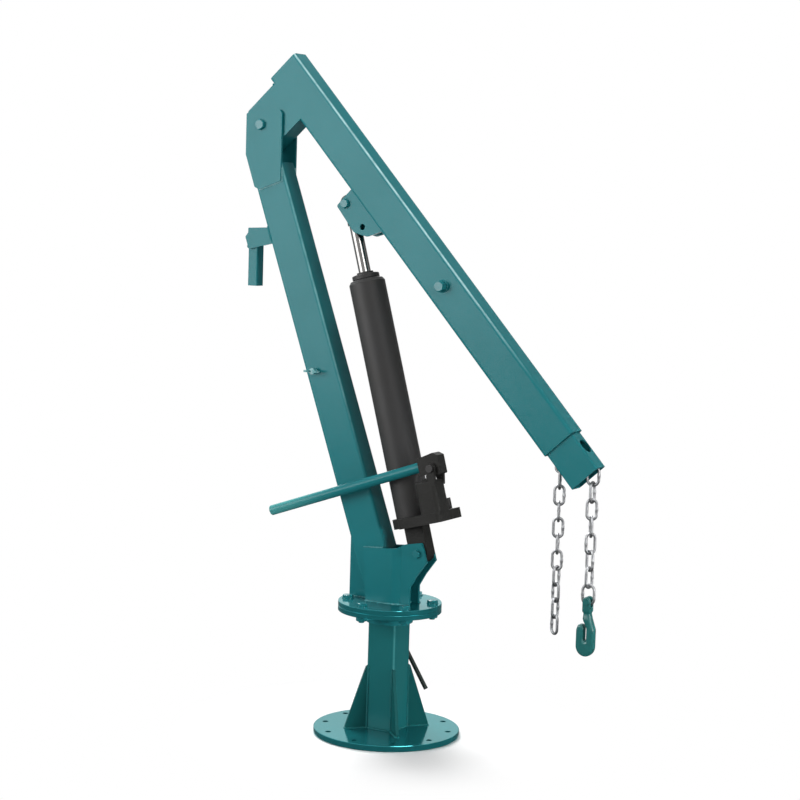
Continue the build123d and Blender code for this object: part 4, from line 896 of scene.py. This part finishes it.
def bent_link(tree, width, start):
    bend = reckon(tree, "MULTIPLY", reckon(tree, "SUBTRACT", width, start["Wire"]), 0.5)
    reach = reckon(tree, "MULTIPLY", reckon(tree, "ADD", start["Inside"], start["Wire"]), 0.5)
    half_leg = reckon(tree, "SUBTRACT", reach, bend)
    bow = add(tree, "GeometryNodeCurvePrimitiveCircle", Resolution=BOW_STEPS)
    join(tree, bend, bow.inputs["Radius"])
    place = add(tree, "GeometryNodeInputPosition")
    parts = add(tree, "ShaderNodeSeparateXYZ")
    join(tree, place.outputs[0], parts.inputs[0])
    pull = add(tree, "ShaderNodeCombineXYZ")
    end_side = reckon(tree, "SIGN", parts.outputs["Y"])
    join(tree, reckon(tree, "MULTIPLY", end_side, half_leg), pull.inputs["Y"])
    oval = add(tree, "GeometryNodeSetPosition")
    join(tree, bow.outputs["Curve"], oval.inputs["Geometry"])
    join(tree, pull.outputs[0], oval.inputs["Offset"])
    even = add(tree, "GeometryNodeResampleCurve", Count=LINK_STEPS)
    join(tree, oval.outputs["Geometry"], even.inputs["Curve"])
    near_weld = eased(tree, reckon(tree, "ABSOLUTE", parts.outputs["Y"]), start["Wire"], 0.0)
    one_leg = reckon(tree, "GREATER_THAN", parts.outputs["X"], 0.0)
    at_weld = reckon(tree, "MULTIPLY", near_weld, one_leg)
    bulge = reckon(tree, "MULTIPLY", at_weld, start["Bulge"])
    wire = add(tree, "GeometryNodeCurvePrimitiveCircle", Resolution=WIRE_STEPS)
    join(tree, reckon(tree, "MULTIPLY", start["Wire"], 0.5), wire.inputs["Radius"])
    swept = add(tree, "GeometryNodeCurveToMesh")
    join(tree, even.outputs["Curve"], swept.inputs["Curve"])
    join(tree, wire.outputs["Curve"], swept.inputs["Profile Curve"])
    join(tree, reckon(tree, "ADD", bulge, 1.0), swept.inputs["Scale"])
    upright = add(tree, "GeometryNodeTransform", Rotation=(pi / 2, 0, 0))
    join(tree, swept.outputs["Mesh"], upright.inputs["Geometry"])
    return upright.outputs["Geometry"]


# %% Setting the links
hung = add(chain, "GeometryNodeInputNamedAttribute", data_type="FLOAT", Name="turn")
wide = add(chain, "GeometryNodeInputNamedAttribute", data_type="INT", Name="wide")
hung_turn = add(chain, "FunctionNodeAxisAngleToRotation")
kinds = add(chain, "GeometryNodeGeometryToInstance")
# The last one joined comes first in the list of instances
for label in ("Ring Width", "Width"):
    join(chain, bent_link(chain, chain_in.outputs[label], chain_in.outputs), kinds.inputs[0])
strung = add(chain, "GeometryNodeInstanceOnPoints", Pick_Instance=True)
rounded = add(chain, "GeometryNodeSetShadeSmooth")
join(chain, hung.outputs["Attribute"], hung_turn.inputs["Angle"])
join(chain, chain_in.outputs["Geometry"], strung.inputs["Points"])
join(chain, kinds.outputs["Instances"], strung.inputs["Instance"])
join(chain, wide.outputs["Attribute"], strung.inputs["Instance Index"])
join(chain, hung_turn.outputs["Rotation"], strung.inputs["Rotation"])
join(chain, strung.outputs["Instances"], rounded.inputs["Geometry"])
finish_tree(chain, rounded.outputs["Geometry"], chain_in, chain_out)
print("chain tree", len(chain.nodes), "nodes")

# %% The three strands
WIRE = 0.0055
LINK_PLAY = 0.0003
LOAD_INSIDE = 0.0335
TAIL_INSIDE = 0.0322
UPPER_TURNS = (0, 90)
LOWER_TURNS = (20, 124, 228, 332, 76, 180)
TAIL_TURNS = (110, 28, 114, 28, 110, 12, 82, 152, 80, 150)


def hang(name, node, turns, wide_links, inside):
    low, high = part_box(node)
    x = (low[0] + high[0]) / 2
    y = (low[1] + high[1]) / 2
    first = high[2] - WIRE - inside / 2
    points = [(x, y, first - index * (inside - LINK_PLAY)) for index in range(len(turns))]
    mesh = seed_mesh(name, points)
    turn_store = mesh.attributes.new("turn", "FLOAT", "POINT")
    wide_store = mesh.attributes.new("wide", "INT", "POINT")
    for index, angle in enumerate(turns):
        turn_store.data[index].value = radians(angle)
        wide_store.data[index].value = int(index in wide_links)
    grow(name, mesh, chain, node, "steel", (node,), Wire=WIRE, Inside=inside, Finish=zinc)


hang("load_strand_upper", "load_chain_upper", UPPER_TURNS, (0,), LOAD_INSIDE)
hang("load_strand_lower", "load_chain_lower", LOWER_TURNS, (5,), LOAD_INSIDE)
hang("tail_strand", "tail_chain", TAIL_TURNS, (), TAIL_INSIDE)

# %% [markdown]
# Small turned pieces
#
# The pump handle's tube is closed by a plug, the jack's tank has a rubber filler plug, and a
# collar lies round the jack's neck. Such round pieces come off a lathe, and could be spun by a
# modifier. Here each is a profile of radius and height, carried round an axis ring by ring.

# %% Turning a profile
SHARP_FROM = radians(35)


def turned(name, profile, centre, axis, body, slot, finish, hollow=False, steps=40):
    stand = Vector(axis).to_track_quat("Z", "Y").to_matrix()
    shell = bmesh.new()
    rings = []
    for radius, height in profile:
        circle = []
        for step in range(steps):
            angle = 2 * pi * step / steps
            spot = stand @ Vector((radius * cos(angle), radius * sin(angle), height))
            circle.append(shell.verts.new(centre + spot))
        rings.append(circle)
    if hollow:
        rings.append(rings[0])
    for lower, upper in zip(rings, rings[1:]):
        for step in range(steps):
            after = (step + 1) % steps
            shell.faces.new((lower[step], lower[after], upper[after], upper[step]))
    if not hollow:
        shell.faces.new(reversed(rings[0]))
        shell.faces.new(rings[-1])
    mesh = bpy.data.meshes.new(name)
    shell.to_mesh(mesh)
    shell.free()
    mesh.shade_smooth()
    mesh.set_sharp_from_angle(angle=SHARP_FROM)
    mesh.materials.append(finish)
    piece = new_object(name, mesh)
    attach(piece, body)
    print(name, len(mesh.polygons), "faces")


# %% Plugs and the collar
SOCKET = (0.0688, 0.1695)
HANDLE_SLOPE = radians(4.0)
HANDLE_LENGTH = 0.392
SOCKET_DEPTH = 0.020
PLUG_PROUD = 0.0002
PUMP_Y = -0.053
FILLER_SPOT = (0, 0.037, 0.470)
handle_way = (on_jack(-cos(HANDLE_SLOPE), 0, -sin(HANDLE_SLOPE)) - JACK_FOOT).normalized()
handle_reach = HANDLE_LENGTH - SOCKET_DEPTH + PLUG_PROUD
handle_end = on_jack(SOCKET[0], PUMP_Y, SOCKET[1]) + handle_way * handle_reach
PLUG = ((0.0079, -0.010), (0.0079, -0.0012), (0.0072, -0.0004), (0.0050, -0.0001), (0.0015, 0.0))
turned("handle_plug", PLUG, handle_end, handle_way, "pump_handle", "paint", paint)
FILLER = (
    (0.0075, -0.002), (0.0075, 0.0012), (0.0068, 0.0022),
    (0.0030, 0.0026), (0.0028, 0.0014), (0.0008, 0.0012),
)
turned("filler_plug", FILLER, on_jack(*FILLER_SPOT), FAR, "jack", "rubber", rubber)
COLLAR = (
    (0.0232, 0.5671), (0.0272, 0.5660), (0.0280, 0.5668),
    (0.0280, 0.5738), (0.0270, 0.5750), (0.0232, 0.5750),
)
jack_way = on_jack(0, 0, 1) - JACK_FOOT
turned("cap_collar", COLLAR, JACK_FOOT, jack_way, "jack", "black_paint", enamel, hollow=True)

# %% [markdown]
# The forged hook
#
# A drop-forged hook has no sharp edge, because hot steel doesn't fill a sharp corner of the die.
# Its solid could be drawn again with larger fillets. Here a merged copy gets an even skin of
# small faces that is smoothed, swollen a little below the clevis, and fitted into the box of the
# solid.

# %% Softening a forging
FORGE_GRAIN = 0.001
MERGE_SHARE = 0.02
SMOOTH_PASSES = 24
SWELLING = 0.0014
CLEVIS_HEIGHT = 0.034


def swell_below(mesh, height, fade):
    outward = [normal.vector.copy() for normal in mesh.vertex_normals]
    for vertex, way in zip(mesh.vertices, outward):
        share = min(max((height - vertex.co.z) / fade, 0.0), 1.0)
        vertex.co += way * SWELLING * share


def fit_into(mesh, low, high):
    for axis in range(3):
        places = [vertex.co[axis] for vertex in mesh.vertices]
        start, span = min(places), max(places) - min(places)
        for vertex in mesh.vertices:
            share = (vertex.co[axis] - start) / span
            vertex.co[axis] = low[axis] + share * (high[axis] - low[axis])


def forged_copy(name, node, body, finish):
    shell = bmesh.new()
    shell.from_mesh(nodes[node].data)
    bmesh.ops.remove_doubles(shell, verts=shell.verts, dist=FORGE_GRAIN * MERGE_SHARE)
    mesh = bpy.data.meshes.new(name)
    shell.to_mesh(mesh)
    shell.free()
    piece = new_object(name, mesh)
    skin = piece.modifiers.new("skin", "REMESH")
    skin.mode = "VOXEL"
    skin.voxel_size = FORGE_GRAIN
    soften = piece.modifiers.new("soften", "SMOOTH")
    soften.factor = 0.5
    soften.iterations = SMOOTH_PASSES
    grown = piece.evaluated_get(bpy.context.evaluated_depsgraph_get())
    plain = bpy.data.meshes.new_from_object(grown)
    piece.modifiers.clear()
    low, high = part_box(node)
    swell_below(plain, high[2] - CLEVIS_HEIGHT, CLEVIS_HEIGHT / 3)
    fit_into(plain, low, high)
    plain.shade_smooth()
    plain.materials.clear()
    plain.materials.append(finish)
    plain.name = name
    piece.data = plain
    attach(piece, body)
    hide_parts(node)
    print(name, len(plain.polygons), "faces")


forged_copy("forged_hook", "grab_hook", "hook", forged_paint)

# %% [markdown]
# The studio
#
# The picture has a clean white ground. A curved sweep of paper would give one, but its far end
# would shade to grey. Here a plain floor takes the soft shadow near the base and fades to white
# further out, and the world is white to the eye and to reflections. Dark cards that only
# reflections see give the glossy faces something to mirror, as they do in a real studio.


# %% Rays that see the backdrop
def seen_ray(tree):
    path = add(tree, "ShaderNodeLightPath")
    shiny = reckon(tree, "MAXIMUM", path.outputs["Is Glossy Ray"], path.outputs["Is Transmission Ray"])
    return reckon(tree, "MAXIMUM", path.outputs["Is Camera Ray"], shiny)


# %% Floor
FLOOR_SIZE = 12.0
FLOOR_TONE = 0.86
FLOOR_BOUNCE = 0.35
FLOOR_DROP = 0.0005
FADE_START, FADE_END = 0.14, 0.45
edge = FLOOR_SIZE / 2
floor_mesh = bpy.data.meshes.new("floor")
corners = [(-edge, -edge, 0), (edge, -edge, 0), (edge, edge, 0), (-edge, edge, 0)]
floor_mesh.from_pydata(corners, [], [(0, 1, 2, 3)])
floor = new_object("floor", floor_mesh)
floor.location.z = -FLOOR_DROP
floor_finish, floor_tree, floor_shader = new_material("studio_floor", Roughness=0.7)
floor_tone = between(floor_tree, seen_ray(floor_tree), FLOOR_BOUNCE, FLOOR_TONE)
join(floor_tree, floor_tone, floor_shader.inputs["Base Color"])
floor_place = add(floor_tree, "ShaderNodeTexCoord")
reach = add(floor_tree, "ShaderNodeVectorMath", operation="LENGTH")
join(floor_tree, floor_place.outputs["Object"], reach.inputs[0])
fade = eased(floor_tree, reach.outputs["Value"], FADE_START, FADE_END)
white = add(floor_tree, "ShaderNodeEmission", Strength=1.0)
white.inputs["Color"].default_value = (1, 1, 1, 1)
floor_mix = add(floor_tree, "ShaderNodeMixShader")
whitened = reckon(floor_tree, "MULTIPLY", fade, seen_ray(floor_tree))
join(floor_tree, whitened, floor_mix.inputs[0])
join(floor_tree, floor_shader.outputs[0], floor_mix.inputs[1])
join(floor_tree, white.outputs[0], floor_mix.inputs[2])
join(floor_tree, floor_mix.outputs[0], floor_tree.nodes["Material Output"].inputs["Surface"])
floor_mesh.materials.append(floor_finish)
print("floor", FLOOR_SIZE, "m")

# %% Dark cards
CARD_RINGS = (0.153, 2.3)
CARD_STEPS = 48
GROUND_TONE = 0.05
BACK_TONE = 0.25
BACK_LINE = ((-0.4, 2.4), (2.4, 1.6))
BACK_HEIGHT = 3.0


def dark_card(name, points, faces, tone):
    mesh = bpy.data.meshes.new(name)
    mesh.from_pydata(points, [], faces)
    card_finish = new_material(name, Base_Color=(tone, tone, tone, 1), Roughness=0.9)[0]
    mesh.materials.append(card_finish)
    card = new_object(name, mesh)
    card.visible_camera = False
    card.visible_diffuse = False
    card.visible_shadow = False
    print(name, len(faces), "faces")


ground_points = []
ground_faces = []
for step in range(CARD_STEPS):
    angle = 2 * pi * step / CARD_STEPS
    ground_points.extend((radius * cos(angle), radius * sin(angle), 0.0) for radius in CARD_RINGS)
    after = (step + 1) % CARD_STEPS
    ground_faces.append((2 * step, 2 * step + 1, 2 * after + 1, 2 * after))
dark_card("ground_card", ground_points, ground_faces, GROUND_TONE)
back_points = [(x, y, 0.0) for x, y in BACK_LINE]
back_points.extend((x, y, BACK_HEIGHT) for x, y in reversed(BACK_LINE))
dark_card("back_card", back_points, [(0, 1, 2, 3)], BACK_TONE)

# %% World
WORLD_FILL = 0.14
world = bpy.data.worlds.new("studio")
bpy.context.scene.world = world
world.use_nodes = True
sky_tree = world.node_tree
sky = sky_tree.nodes["Background"]
sky.inputs["Color"].default_value = (1, 1, 1, 1)
join(sky_tree, between(sky_tree, seen_ray(sky_tree), WORLD_FILL, 1.0), sky.inputs["Strength"])
print("world", world.name)

# %% [markdown]
# Light
#
# A large soft key stands to the left of the camera and lights the upper half most. A backlight
# and an overhead panel draw the top edges, and two small panels on the right keep the shaded
# faces open. One sky image could do all that, but lamps can be moved and dimmed one by one.

# %% Lamps
LAMPS = (
    ("key", (-1.9, -2.4, 1.75), (-0.25, 0.0, 1.5), (2.4, 2.8), 23.5, 72),
    ("backlight", (-1.4, 1.2, 2.5), (0.0, 0.0, 0.3), (1.4, 1.4), 105.0, 180),
    ("overhead", (1.1, -0.2, 2.9), (0.1, 0.0, 0.9), (1.0, 0.8), 30.0, 180),
    ("right", (1.65, -1.27, 1.64), (-0.2, 0.0, 0.75), (0.7, 0.3), 7.0, 180),
    ("side_fill", (2.3, -0.2, 0.4), (0.0, 0.0, 0.15), (0.8, 0.8), 1.6, 36),
)
for name, place, target, face, power, spread in LAMPS:
    lamp_data = bpy.data.lights.new(name, "AREA")
    lamp_data.energy = power
    lamp_data.shape = "RECTANGLE"
    lamp_data.size, lamp_data.size_y = face
    lamp_data.spread = radians(spread)
    lamp = new_object(name, lamp_data)
    lamp.location = place
    aim = Vector(target) - Vector(place)
    lamp.rotation_euler = aim.to_track_quat("-Z", "Y").to_euler()
bpy.context.scene.view_settings.view_transform = "Standard"
print(len(LAMPS), "lamps")
